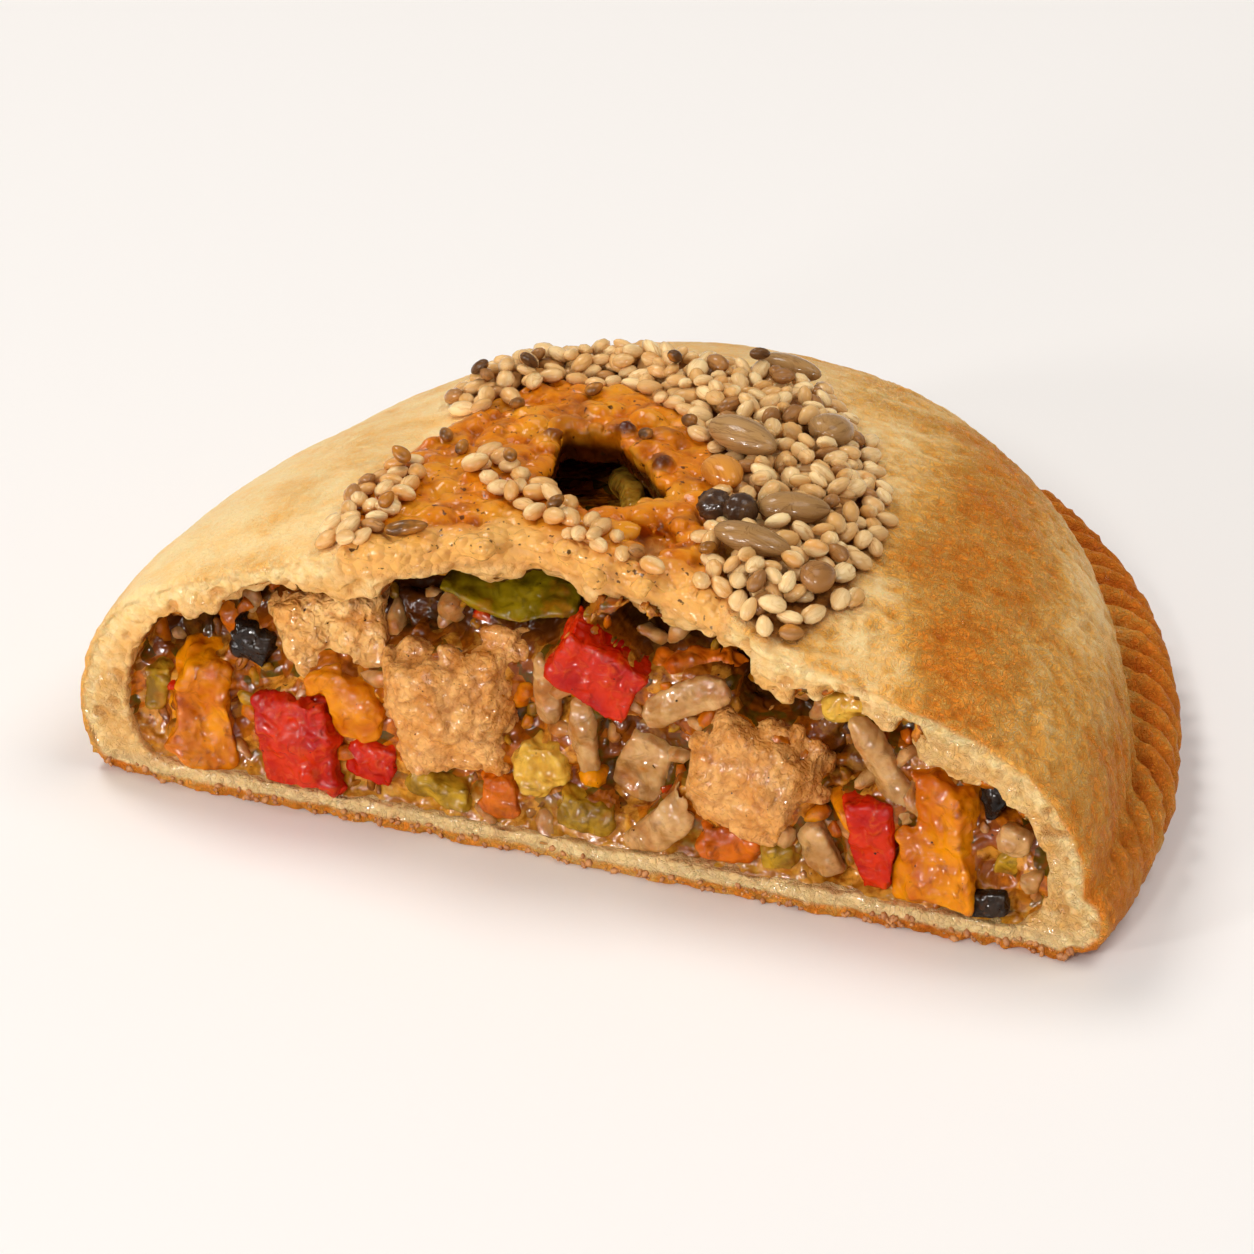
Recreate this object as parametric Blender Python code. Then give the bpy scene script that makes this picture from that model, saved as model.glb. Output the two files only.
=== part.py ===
"""Half of a large baked empanada, cut straight across its middle.

The pastry is a domed shell with a flat base, a crimped rope edge and a torn steam vent near the
cut. Seeds are baked on round the vent. Inside lie chunks of chicken and cooked vegetables.

Frame: X runs along the cut, Y away from the cut into the half, Z up. The origin is on the
surface the half rests on, under the middle of its box. The shapes are worked out in
millimetres from the cut plane (y = 0) and each finished mesh is turned into metres.
"""
import math
import random

import bmesh
import bpy
from mathutils import Euler, Matrix, Vector, noise

# Frame
MM = 0.001
FOOTPRINT_MIDDLE = Vector((0.3, 49.7, 0.0))   # from the middle of the cut to the origin

# Plan of the whole pastry, seen from above
PLAN_CENTRE = Vector((-3.7, 13.0, 0.0))
LEFT_END = -60.6
RIGHT_END = 60.6
BACK_REACH = 86.6        # from the plan centre to the back edge
FRONT_REACH = 62.0       # towards the half that was cut away
PLAN_POWER = 2.03

# Dome, walls and base
DOME_TOP = 35.2
BELLY_HEIGHT = 7.5       # the widest height of the side
LEFT_TUCK = 4.5          # how far the side curves in under the belly, left and right
RIGHT_TUCK = 1.3
DOME_POWER = 2.5
CRIMP_WIDTH = 8.8
ROOF_THICKNESS = 3.4
BASE_THICKNESS = 2.8
LEFT_WALL = 5.7
RIGHT_WALL = 4.8
BACK_WALL = 7.0
CAVITY_BELLY = 9.0
CAVITY_CORNER = 5.0
GAP = 0.3                # kept between pieces that touch

# Crimped rope edge
CRIMP_START = math.radians(-17)   # in front of the cut, so the rope is cut through here
CRIMP_END = math.radians(168)
CRIMP_GROWS = (math.radians(-45), math.radians(65))
CRIMP_FADES = (math.radians(90), math.radians(220))
FLUTE_PITCH = 5.0
FLUTE_STEPS = 3
FLUTE_DEPTH = 0.75
FLUTE_TWIST = 0.8
CRIMP_HEIGHT = 9.6
CRIMP_SIDES = 6

# Steam vent torn in the roof, and the dip in front of it
VENT_CENTRE = Vector((-5.4, 24.6, 0.0))
VENT_LENGTH = 18.0
VENT_WIDTH = 10.4
VENT_TURN = math.radians(124)
DIP_CENTRE = Vector((4.2, 12.6, 34.2))
DIP_SIZE = Vector((9.5, 6.0, 3.2))

# Seeds baked on the roof
CRESCENT_CENTRE = Vector((-7.0, 27.0, 0.0))
CRESCENT_START = math.radians(-46)
CRESCENT_END = math.radians(150)
SESAME = Vector((3.2, 2.0, 1.7))
SEED_SPACING = 4.0
SEED_LIMIT = 64
SEED_TRIES = 9000

# Filling heap
HEAP_TOP = 26.5
HEAP_FRONT = 6.0

PASTRY_COLOUR = (0.80, 0.50, 0.22)
HEAP_COLOUR = (0.42, 0.17, 0.05)
CHICKEN_COLOUR = (0.72, 0.38, 0.16)
PALE_CHICKEN_COLOUR = (0.78, 0.56, 0.30)
SQUASH_COLOUR = (0.85, 0.36, 0.02)
CARROT_COLOUR = (0.80, 0.26, 0.03)
PEPPER_COLOUR = (0.62, 0.03, 0.01)
ONION_COLOUR = (0.72, 0.56, 0.32)
GREEN_COLOUR = (0.26, 0.24, 0.04)
LEEK_COLOUR = (0.28, 0.32, 0.02)
DARK_COLOUR = (0.03, 0.02, 0.02)

for old_object in list(bpy.data.objects):
    bpy.data.objects.remove(old_object, do_unlink=True)

parts = bpy.data.collections.new("empanada_half")
cutters = bpy.data.collections.new("cutters")
bpy.context.scene.collection.children.link(parts)
bpy.context.scene.collection.children.link(cutters)


# ---------------------------------------------------------------- small helpers
def lobe(value, centre, reach):
    """A smooth bump: 1 at the centre, 0 beyond the reach."""
    t = min(abs(value - centre) / reach, 1.0)
    return (1.0 - t * t) ** 2


def ramp(value, start, end):
    """A smooth step from 0 at the start to 1 at the end."""
    t = min(max((value - start) / (end - start), 0.0), 1.0)
    return t * t * (3.0 - 2.0 * t)


def lumps(point, size, seed=0.0):
    """Smooth noise between about -1 and 1, with features of the given size."""
    return noise.noise(point / size + Vector((seed * 5.3, seed * 2.7, seed * 9.1)))


def signed_power(value, power):
    return math.copysign(abs(value) ** power, value)


def material(name, colour, roughness=0.6):
    finish = bpy.data.materials.new(name)
    finish.use_nodes = True
    shader = finish.node_tree.nodes["Principled BSDF"]
    shader.inputs["Base Color"].default_value = (*colour, 1.0)
    shader.inputs["Roughness"].default_value = roughness
    shader.inputs["Metallic"].default_value = 0.0
    return finish


def solid(name, bm, collection=cutters):
    """Makes an object from a bmesh, with its faces pointing out."""
    bmesh.ops.recalc_face_normals(bm, faces=bm.faces[:])
    bmesh.ops.triangulate(bm, faces=bm.faces[:])
    mesh = bpy.data.meshes.new(name)
    bm.to_mesh(mesh)
    bm.free()
    thing = bpy.data.objects.new(name, mesh)
    collection.objects.link(thing)
    if collection == cutters:
        thing.hide_render = True
        thing.display_type = "WIRE"
    return thing


def discard(thing):
    bpy.data.objects.remove(thing, do_unlink=True)


def combine(target, operation, tool=None, group=None, solver="EXACT"):
    """Applies one Boolean to the target and removes what it used."""
    boolean = target.modifiers.new("combine", "BOOLEAN")
    boolean.operation = operation
    boolean.solver = solver
    if group is None:
        boolean.object = tool
    else:
        boolean.operand_type = "COLLECTION"
        boolean.collection = group
    evaluated = target.evaluated_get(bpy.context.evaluated_depsgraph_get())
    mesh = bpy.data.meshes.new_from_object(evaluated)
    target.modifiers.clear()
    target.data = mesh
    used = [tool] if group is None else list(group.objects)
    for thing in used:
        discard(thing)


def islands(bm):
    """The connected bodies of a mesh, as lists of vertices."""
    unseen = set(bm.verts)
    found = []
    while unseen:
        body = []
        front = [unseen.pop()]
        while front:
            vert = front.pop()
            body.append(vert)
            for edge in vert.link_edges:
                other = edge.other_vert(vert)
                if other in unseen:
                    unseen.remove(other)
                    front.append(other)
        found.append(body)
    return found


def body_size(body):
    """The diagonal of the box round one body."""
    spans = [max(v.co[i] for v in body) - min(v.co[i] for v in body) for i in range(3)]
    return Vector(spans).length


def keep_largest_body(thing):
    """Drops the scraps and the sealed hollows that a Boolean left."""
    bm = bmesh.new()
    bm.from_mesh(thing.data)
    bodies = sorted(islands(bm), key=body_size)
    scraps = [vert for body in bodies[:-1] for vert in body]
    bmesh.ops.delete(bm, geom=scraps, context="VERTS")
    bmesh.ops.triangulate(bm, faces=bm.faces[:])
    bm.to_mesh(thing.data)
    bm.free()


def grown_copy(thing, distance):
    """A copy whose surface stands the distance further out, for cutting clearances."""
    bm = bmesh.new()
    bm.from_mesh(thing.data)
    bm.normal_update()
    moves = [(vert, vert.normal * distance * vert.calc_shell_factor()) for vert in bm.verts]
    for vert, move in moves:
        vert.co += move if move.length < 2.0 * distance else move.normalized() * 2.0 * distance
    return solid(thing.name + "_clearance", bm)


def boxes_meet(one, other, margin):
    for axis in range(3):
        low_one = min(vert.co[axis] for vert in one.data.vertices)
        high_one = max(vert.co[axis] for vert in one.data.vertices)
        low_other = min(vert.co[axis] for vert in other.data.vertices)
        high_other = max(vert.co[axis] for vert in other.data.vertices)
        if low_one > high_other + margin or low_other > high_one + margin:
            return False
    return True


# ---------------------------------------------------------------- form of the pastry
def outline_radius(angle):
    """Distance from the plan centre to the outer edge in one direction."""
    cosine = math.cos(angle)
    sine = math.sin(angle)
    along = RIGHT_END - PLAN_CENTRE.x if cosine >= 0 else PLAN_CENTRE.x - LEFT_END
    across = BACK_REACH if sine >= 0 else FRONT_REACH
    total = abs(cosine / along) ** PLAN_POWER + abs(sine / across) ** PLAN_POWER
    return total ** (-1.0 / PLAN_POWER)


def crimp_share(angle):
    """How much of the crimp's width shows: little at the cut ends, all at the back."""
    if angle < -math.pi / 2:
        angle += 2 * math.pi
    return ramp(angle, CRIMP_GROWS[0], CRIMP_GROWS[1]) * ramp(angle, CRIMP_FADES[1], CRIMP_FADES[0])


def dome_radius(angle):
    return outline_radius(angle) - CRIMP_WIDTH * crimp_share(angle)


def cavity_corner(angle):
    return CAVITY_CORNER


def wall_thickness(angle):
    side = RIGHT_WALL if math.cos(angle) >= 0 else LEFT_WALL
    return side + (BACK_WALL - side) * max(math.sin(angle), 0.0)


def foot_tuck(angle):
    """The side curves in under the belly at the left, and stands nearly upright at the right."""
    if angle < -math.pi / 2:
        angle += 2 * math.pi
    share = ramp(angle, math.radians(60), math.radians(170))
    at_cut = 1.8 * lobe(angle, math.radians(-15), math.radians(22))
    return RIGHT_TUCK + (LEFT_TUCK - RIGHT_TUCK) * share + at_cut


def roof_sag(x, y):
    """The roof has sunk a little towards the cut, most on the right."""
    amount = 2.6 * lobe(x, 36, 34) + 1.7 * lobe(x, -41, 18)
    return amount * (1.0 - ramp(y, -2, 15))


def ceiling_sag(x, y):
    """The underside of the roof at the cut, with drips of dough that hang from its lip."""
    sag = 1.0 * lobe(x, 28, 20) + 3.0 * lobe(x, 48, 14)
    drips = 2.0 * lobe(x, -24.5, 3.5) + 2.4 * lobe(x, 23, 5) + 1.2 * lobe(x, 9, 3.5)
    drips += 0.9 * lobe(x, -12, 3) + 1.0 * lobe(x, -40, 4) + 0.8 * lobe(x, 41, 3)
    return sag * (1.0 - ramp(y, 0, 15)) + drips * (1.0 - ramp(y, 2, 7))


def roof_height(x, y):
    """Height of the baked surface over a point of the plan."""
    offset = Vector((x, y, 0.0)) - PLAN_CENTRE
    share = offset.length / dome_radius(math.atan2(offset.y, offset.x))
    rise = (1.0 - min(share, 1.0) ** DOME_POWER) ** (1.0 / DOME_POWER)
    return BELLY_HEIGHT + (DOME_TOP - BELLY_HEIGHT) * rise - roof_sag(x, y)


def roof_normal(x, y):
    step = 0.5
    slope_x = (roof_height(x + step, y) - roof_height(x - step, y)) / (2 * step)
    slope_y = (roof_height(x, y + step) - roof_height(x, y - step)) / (2 * step)
    return Vector((-slope_x, -slope_y, 1.0)).normalized()


def bun(name, radius_at, floor, belly, top, corner_at, around, rings, sag=None, rough=0.0):
    """A loaf-like solid: a ball whose points are moved onto a dome, a rounded foot and a floor."""
    bm = bmesh.new()
    bmesh.ops.create_uvsphere(bm, u_segments=around, v_segments=rings, radius=1.0)
    foot_share = 0.3
    for vert in bm.verts:
        angle = math.atan2(vert.co.y, vert.co.x)
        tilt = math.asin(max(-1.0, min(1.0, vert.co.z)))
        radius = radius_at(angle)
        if tilt >= 0:
            power = 2.0 / DOME_POWER
            reach = radius * max(math.cos(tilt), 0.0) ** power
            height = belly + (top - belly) * math.sin(tilt) ** power
        else:
            share = -tilt / (math.pi / 2)
            turn = min(share / foot_share, 1.0) * math.pi / 2
            rest = max(share - foot_share, 0.0) / (1.0 - foot_share)
            reach = (radius - corner_at(angle) * (1.0 - math.cos(turn))) * (1.0 - rest)
            height = belly - (belly - floor) * math.sin(turn)
        place = PLAN_CENTRE + Vector((reach * math.cos(angle), reach * math.sin(angle), height))
        if tilt > 0 and sag is not None:
            place.z -= sag(place.x, place.y) * ramp(height, belly, belly + 8.0)
        if rough > 0.0 and height > floor + 0.01:
            direction = Vector((math.cos(angle), math.sin(angle), 0.6 * math.sin(tilt)))
            place -= direction * rough * (0.5 + 0.5 * lumps(place, 5.0, seed=2.0))
        vert.co = place
    underside = [face for face in bm.faces if max(v.co.z for v in face.verts) < floor + 0.001]
    bmesh.ops.dissolve_faces(bm, faces=underside)
    return solid(name, bm)


# ---------------------------------------------------------------- pastry shell
def crimp_rope():
    """The twisted edge: a tube along the outline whose radius swells at every flute."""
    samples = 240
    path = [CRIMP_START + (CRIMP_END - CRIMP_START) * i / samples for i in range(samples + 1)]
    points = [Vector((math.cos(a), math.sin(a), 0.0)) * outline_radius(a) for a in path]
    lengths = [0.0]
    for before, after in zip(points, points[1:]):
        lengths.append(lengths[-1] + (after - before).length)
    flutes = round(lengths[-1] / FLUTE_PITCH)
    steps = flutes * FLUTE_STEPS
    bm = bmesh.new()
    rings = []
    for step in range(steps + 1):
        goal = lengths[-1] * step / steps
        index = max(i for i, length in enumerate(lengths) if length <= goal + 1e-6)
        angle = path[index]
        outward = Vector((math.cos(angle), math.sin(angle), 0.0))
        from_end = steps - step
        fade = ramp(step, 0, 6 * FLUTE_STEPS) * ramp(from_end, 0, 14 * FLUTE_STEPS)
        taper = 0.6 + 0.4 * ramp(from_end, 0, 5 * FLUTE_STEPS)
        half_wide = (0.5 * CRIMP_WIDTH * max(crimp_share(angle), 0.45) + 0.8) * taper
        half_high = 0.5 * CRIMP_HEIGHT * (0.75 + 0.25 * crimp_share(angle)) * taper
        sink = 4.0 * (1.0 - ramp(from_end, 0, 5 * FLUTE_STEPS))
        middle = PLAN_CENTRE + outward * (outline_radius(angle) - half_wide + 0.15 - sink)
        middle.z = 0.5 * CRIMP_HEIGHT + 0.2
        ring = []
        for side in range(CRIMP_SIDES):
            turn = 2 * math.pi * side / CRIMP_SIDES
            phase = math.pi * step / FLUTE_STEPS + FLUTE_TWIST * math.sin(turn)
            swell = 1.0 + FLUTE_DEPTH * fade * (abs(math.cos(phase)) - 0.7) / half_wide * 1.4
            offset = outward * half_wide * math.cos(turn) + Vector((0, 0, half_high * math.sin(turn)))
            ring.append(bm.verts.new(middle + offset * swell))
        rings.append(ring)
    loops = [[bm.edges.new((ring[i - 1], ring[i])) for i in range(CRIMP_SIDES)] for ring in rings]
    for before, after in zip(loops, loops[1:]):
        bmesh.ops.bridge_loops(bm, edges=before + after)
    bmesh.ops.holes_fill(bm, edges=loops[0] + loops[-1], sides=CRIMP_SIDES)
    return solid("crimp", bm)


def cut_depth(x, z):
    """How far behind the cut plane the broken edge lies: the roof tore back at the vent."""
    torn = 6.5 * lobe(x, -6, 18) + 3.0 * lobe(x, 11, 11)
    roof = ramp(z, 24, 30)
    wobble = 0.45 * lumps(Vector((x, 0.0, z)), 5.0, seed=4.0) + 0.45
    foot = 1.2 * lobe(z, 0, 3) * lobe(x, -56, 9)
    return torn * roof + wobble + foot


def front_cutter():
    """A block in front of the cut whose rear face is the broken surface."""
    bm = bmesh.new()
    bmesh.ops.create_grid(bm, x_segments=38, y_segments=12, size=1.0)
    half_wide = 68.0
    half_high = 24.0
    for vert in bm.verts:
        x = vert.co.x * half_wide
        z = vert.co.y * half_high + 20.0
        vert.co = Vector((x, cut_depth(x, z), z))
    depth = 130.0
    moved = bmesh.ops.extrude_face_region(bm, geom=bm.faces[:])["geom"]
    for vert in [item for item in moved if isinstance(item, bmesh.types.BMVert)]:
        vert.co.y = -depth
    return solid("front_cutter", bm)


def vent_cutter():
    """An egg-shaped plug through the roof, uneven like torn dough."""
    bm = bmesh.new()
    bmesh.ops.create_cone(bm, cap_ends=True, segments=14, radius1=1.0, radius2=1.0, depth=14.0)
    turn = Matrix.Rotation(VENT_TURN, 3, "Z")
    for vert in bm.verts:
        angle = math.atan2(vert.co.y, vert.co.x)
        wobble = 1.0 + 0.10 * math.cos(3 * angle + 0.6) + 0.05 * math.sin(5 * angle)
        flat = Vector((math.cos(angle) * VENT_LENGTH / 2, math.sin(angle) * VENT_WIDTH / 2, 0))
        if math.hypot(vert.co.x, vert.co.y) > 0.5:
            vert.co = turn @ (flat * wobble) + Vector((0, 0, vert.co.z))
        vert.co += VENT_CENTRE + Vector((0, 0, 32.0))
    return solid("vent_cutter", bm)


def dip_cutter():
    bm = bmesh.new()
    bmesh.ops.create_uvsphere(bm, u_segments=12, v_segments=8, radius=0.5)
    place = Matrix.LocRotScale(DIP_CENTRE, Euler((0, 0, math.radians(-40))), DIP_SIZE)
    bmesh.ops.transform(bm, matrix=place, verts=bm.verts[:])
    return solid("dip_cutter", bm)


def seed_shape(name, centre, size, yaw, pitch, group, sides=5, rings=4):
    """One seed or kernel, a small egg lying on the roof."""
    bm = bmesh.new()
    bmesh.ops.create_uvsphere(bm, u_segments=sides, v_segments=rings, radius=0.5)
    for vert in bm.verts:
        vert.co.y *= 1.0 - 0.45 * vert.co.x
    normal = roof_normal(centre.x, centre.y)
    lie = normal.to_track_quat("Z", "Y").to_matrix() @ Euler((pitch, 0, yaw)).to_matrix()
    place = Matrix.LocRotScale(centre, lie.to_quaternion(), size)
    bmesh.ops.transform(bm, matrix=place, verts=bm.verts[:])
    thing = solid(name, bm)
    cutters.objects.unlink(thing)
    group.objects.link(thing)


def in_crescent(x, y):
    """True inside the crescent of seeds that curls round the vent."""
    offset = Vector((x, y, 0.0)) - CRESCENT_CENTRE
    angle = math.atan2(offset.y, offset.x)
    if not CRESCENT_START < angle < CRESCENT_END:
        return False
    lean = math.radians(30)
    widen = 19.0 if angle < lean else 7.0
    inner = 14.5 + widen * (1.0 - math.cos(angle - lean))
    outer = 33.5 + 7.0 * max(-math.sin(angle), 0.0)
    return inner < offset.length < outer


def in_side_clusters(x, y):
    """The loose seeds on the strip between vent and cut, and left of the vent."""
    strip = abs(x + 6.0) < 12.0 and abs(y - (12.5 - 0.5 * (x + 6.0))) < 3.4
    left = ((x + 26.0) / 4.5) ** 2 + ((y - 9.5) / 12.0) ** 2 < 1.0
    return strip or left


def scatter_seeds(group, taken):
    """Spreads seeds evenly over the crescent and the clusters, apart from what lies there."""
    draw = random.Random(7)
    placed = 0
    for attempt in range(SEED_TRIES):
        x = draw.uniform(-42.0, 32.0)
        y = draw.uniform(1.0, 64.0)
        yaw = draw.uniform(0.0, math.pi)
        pitch = draw.uniform(-0.25, 0.25)
        scale = draw.uniform(0.88, 1.12)
        if not (in_crescent(x, y) or in_side_clusters(x, y)):
            continue
        spot = Vector((x, y, roof_height(x, y)))
        if spot.y < cut_depth(x, spot.z) + 1.2:
            continue
        if any((spot - other).length < SEED_SPACING - 0.5 + reach for other, reach in taken):
            continue
        lift = roof_normal(x, y) * 0.45
        seed_shape(f"seed_{placed}", spot + lift, SESAME * scale, yaw, pitch, group)
        taken.append((spot, 0.5))
        placed += 1
        if placed == SEED_LIMIT:
            break


KERNELS = [
    # x, y, size, yaw in degrees: sunflower kernels, then a pair of peppercorns and dark seeds
    (8.2, 33.5, (9.8, 4.4, 2.9), -28),
    (16.3, 40.6, (6.2, 4.6, 3.0), 75),
    (8.5, 25.6, (6.4, 4.0, 2.8), -50),
    (19.0, 20.0, (7.4, 4.2, 3.0), 25),
    (17.2, 11.2, (8.4, 4.0, 2.8), 5),
    (10.0, 17.3, (3.8, 3.6, 3.4), 0),
    (13.6, 17.0, (3.8, 3.6, 3.4), 60),
    (24.0, 12.2, (4.6, 3.2, 2.6), 60),
    (-29.3, 44.0, (7.0, 4.4, 2.6), 30),
    (5.6, 58.6, (8.6, 4.4, 2.8), -20),
    (-20.0, 4.2, (5.2, 2.0, 1.8), 20),
]


def pastry_shell():
    shell = bun("pastry_shell", dome_radius, 0.0, BELLY_HEIGHT, DOME_TOP, foot_tuck, 48, 18,
                sag=roof_sag)
    combine(shell, "UNION", crimp_rope())
    cavity = bun("cavity", lambda a: dome_radius(a) - wall_thickness(a), BASE_THICKNESS,
                 CAVITY_BELLY, DOME_TOP - ROOF_THICKNESS, cavity_corner, 36, 18, sag=ceiling_sag)
    combine(shell, "DIFFERENCE", cavity)
    combine(shell, "DIFFERENCE", front_cutter(), solver="MANIFOLD")
    combine(shell, "DIFFERENCE", vent_cutter(), solver="MANIFOLD")
    combine(shell, "DIFFERENCE", dip_cutter(), solver="MANIFOLD")
    seeds = bpy.data.collections.new("seeds")
    bpy.context.scene.collection.children.link(seeds)
    taken = []
    for index, (x, y, size, yaw) in enumerate(KERNELS):
        spot = Vector((x, y, roof_height(x, y)))
        lift = roof_normal(x, y) * size[2] * 0.3
        seed_shape(f"kernel_{index}", spot + lift, Vector(size), math.radians(yaw), 0.0, seeds, 7, 5)
        taken.append((spot, size[0] * 0.42))
    scatter_seeds(seeds, taken)
    combine(shell, "UNION", group=seeds, solver="MANIFOLD")
    bpy.data.collections.remove(seeds)
    keep_largest_body(shell)
    return shell


# ---------------------------------------------------------------- filling pieces
def placed_piece(name, bm, place):
    """Sets a piece in its place and makes the box that is cut out of the heap for it."""
    low = [min(vert.co[axis] for vert in bm.verts) for axis in range(3)]
    high = [max(vert.co[axis] for vert in bm.verts) for axis in range(3)]
    scale = place.to_scale()
    pocket = bmesh.new()
    bmesh.ops.create_cube(pocket, size=1.0)
    for vert in pocket.verts:
        for axis in range(3):
            edge = high[axis] if vert.co[axis] > 0 else low[axis]
            vert.co[axis] = edge + math.copysign(GAP / scale[axis], vert.co[axis])
    bmesh.ops.transform(pocket, matrix=place, verts=pocket.verts[:])
    bmesh.ops.transform(bm, matrix=place, verts=bm.verts[:])
    solid(name + "_pocket", pocket)
    return solid(name, bm)


def block(name, centre, size, tilt=0, turn=0, roundness=0.35, rough=0.16, taper=0.0, cuts=1, seed=1):
    """A cooked chunk: a cube eased towards a ball and made uneven."""
    bm = bmesh.new()
    bmesh.ops.create_cube(bm, size=2.0)
    bmesh.ops.subdivide_edges(bm, edges=bm.edges[:], cuts=cuts, use_grid_fill=True)
    for vert in bm.verts:
        eased = vert.co.lerp(vert.co.normalized() * 1.2, roundness)
        eased *= 1.0 + rough * lumps(vert.co, 0.9, seed)
        narrow = 1.0 - taper * eased.z
        vert.co = Vector((eased.x * narrow, eased.y * narrow, eased.z)) * 0.5
    turned = Euler((0, math.radians(-tilt), math.radians(turn)))
    return placed_piece(name, bm, Matrix.LocRotScale(Vector(centre), turned, Vector(size)))


def strip(name, centre, size, tilt=0, turn=0, bend=0.0, seed=1):
    """A strip of onion, bean or stem: a blunt bar that may bend; its length is its height."""
    bm = bmesh.new()
    bmesh.ops.create_uvsphere(bm, u_segments=6, v_segments=7, radius=1.0)
    for vert in bm.verts:
        ring = math.hypot(vert.co.x, vert.co.y)
        blunt = ring ** 0.35 / max(ring, 1e-6) if ring > 1e-6 else 0.0
        along = signed_power(vert.co.z, 0.8)
        swell = 1.0 + 0.14 * lumps(Vector((0, 0, along * 2.0)), 0.8, seed)
        side = bend * (along * along - 0.4)
        vert.co = Vector((vert.co.x * blunt * swell + side, vert.co.y * blunt * swell, along)) * 0.5
    turned = Euler((0, math.radians(-tilt), math.radians(turn)))
    return placed_piece(name, bm, Matrix.LocRotScale(Vector(centre), turned, Vector(size)))


def leaf(name, centre, size, thickness):
    """A wilted leek leaf under the roof: a wavy sheet whose front edge curls down."""
    bm = bmesh.new()
    bmesh.ops.create_grid(bm, x_segments=7, y_segments=3, size=0.5)
    bmesh.ops.triangulate(bm, faces=bm.faces[:])
    for vert in bm.verts:
        x = vert.co.x * size[0]
        y = vert.co.y * size[1]
        front = ramp(-vert.co.y, 0.0, 0.5)
        curl = front * (1.6 + 2.2 * lobe(x, 2.0, 5.0))
        vert.co = Vector((x, y, 0.7 * math.sin(x * 0.55) * (0.4 + front) - curl))
    bmesh.ops.recalc_face_normals(bm, faces=bm.faces[:])
    bmesh.ops.solidify(bm, geom=bm.faces[:], thickness=thickness)
    return placed_piece(name, bm, Matrix.Translation(Vector(centre)))


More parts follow.
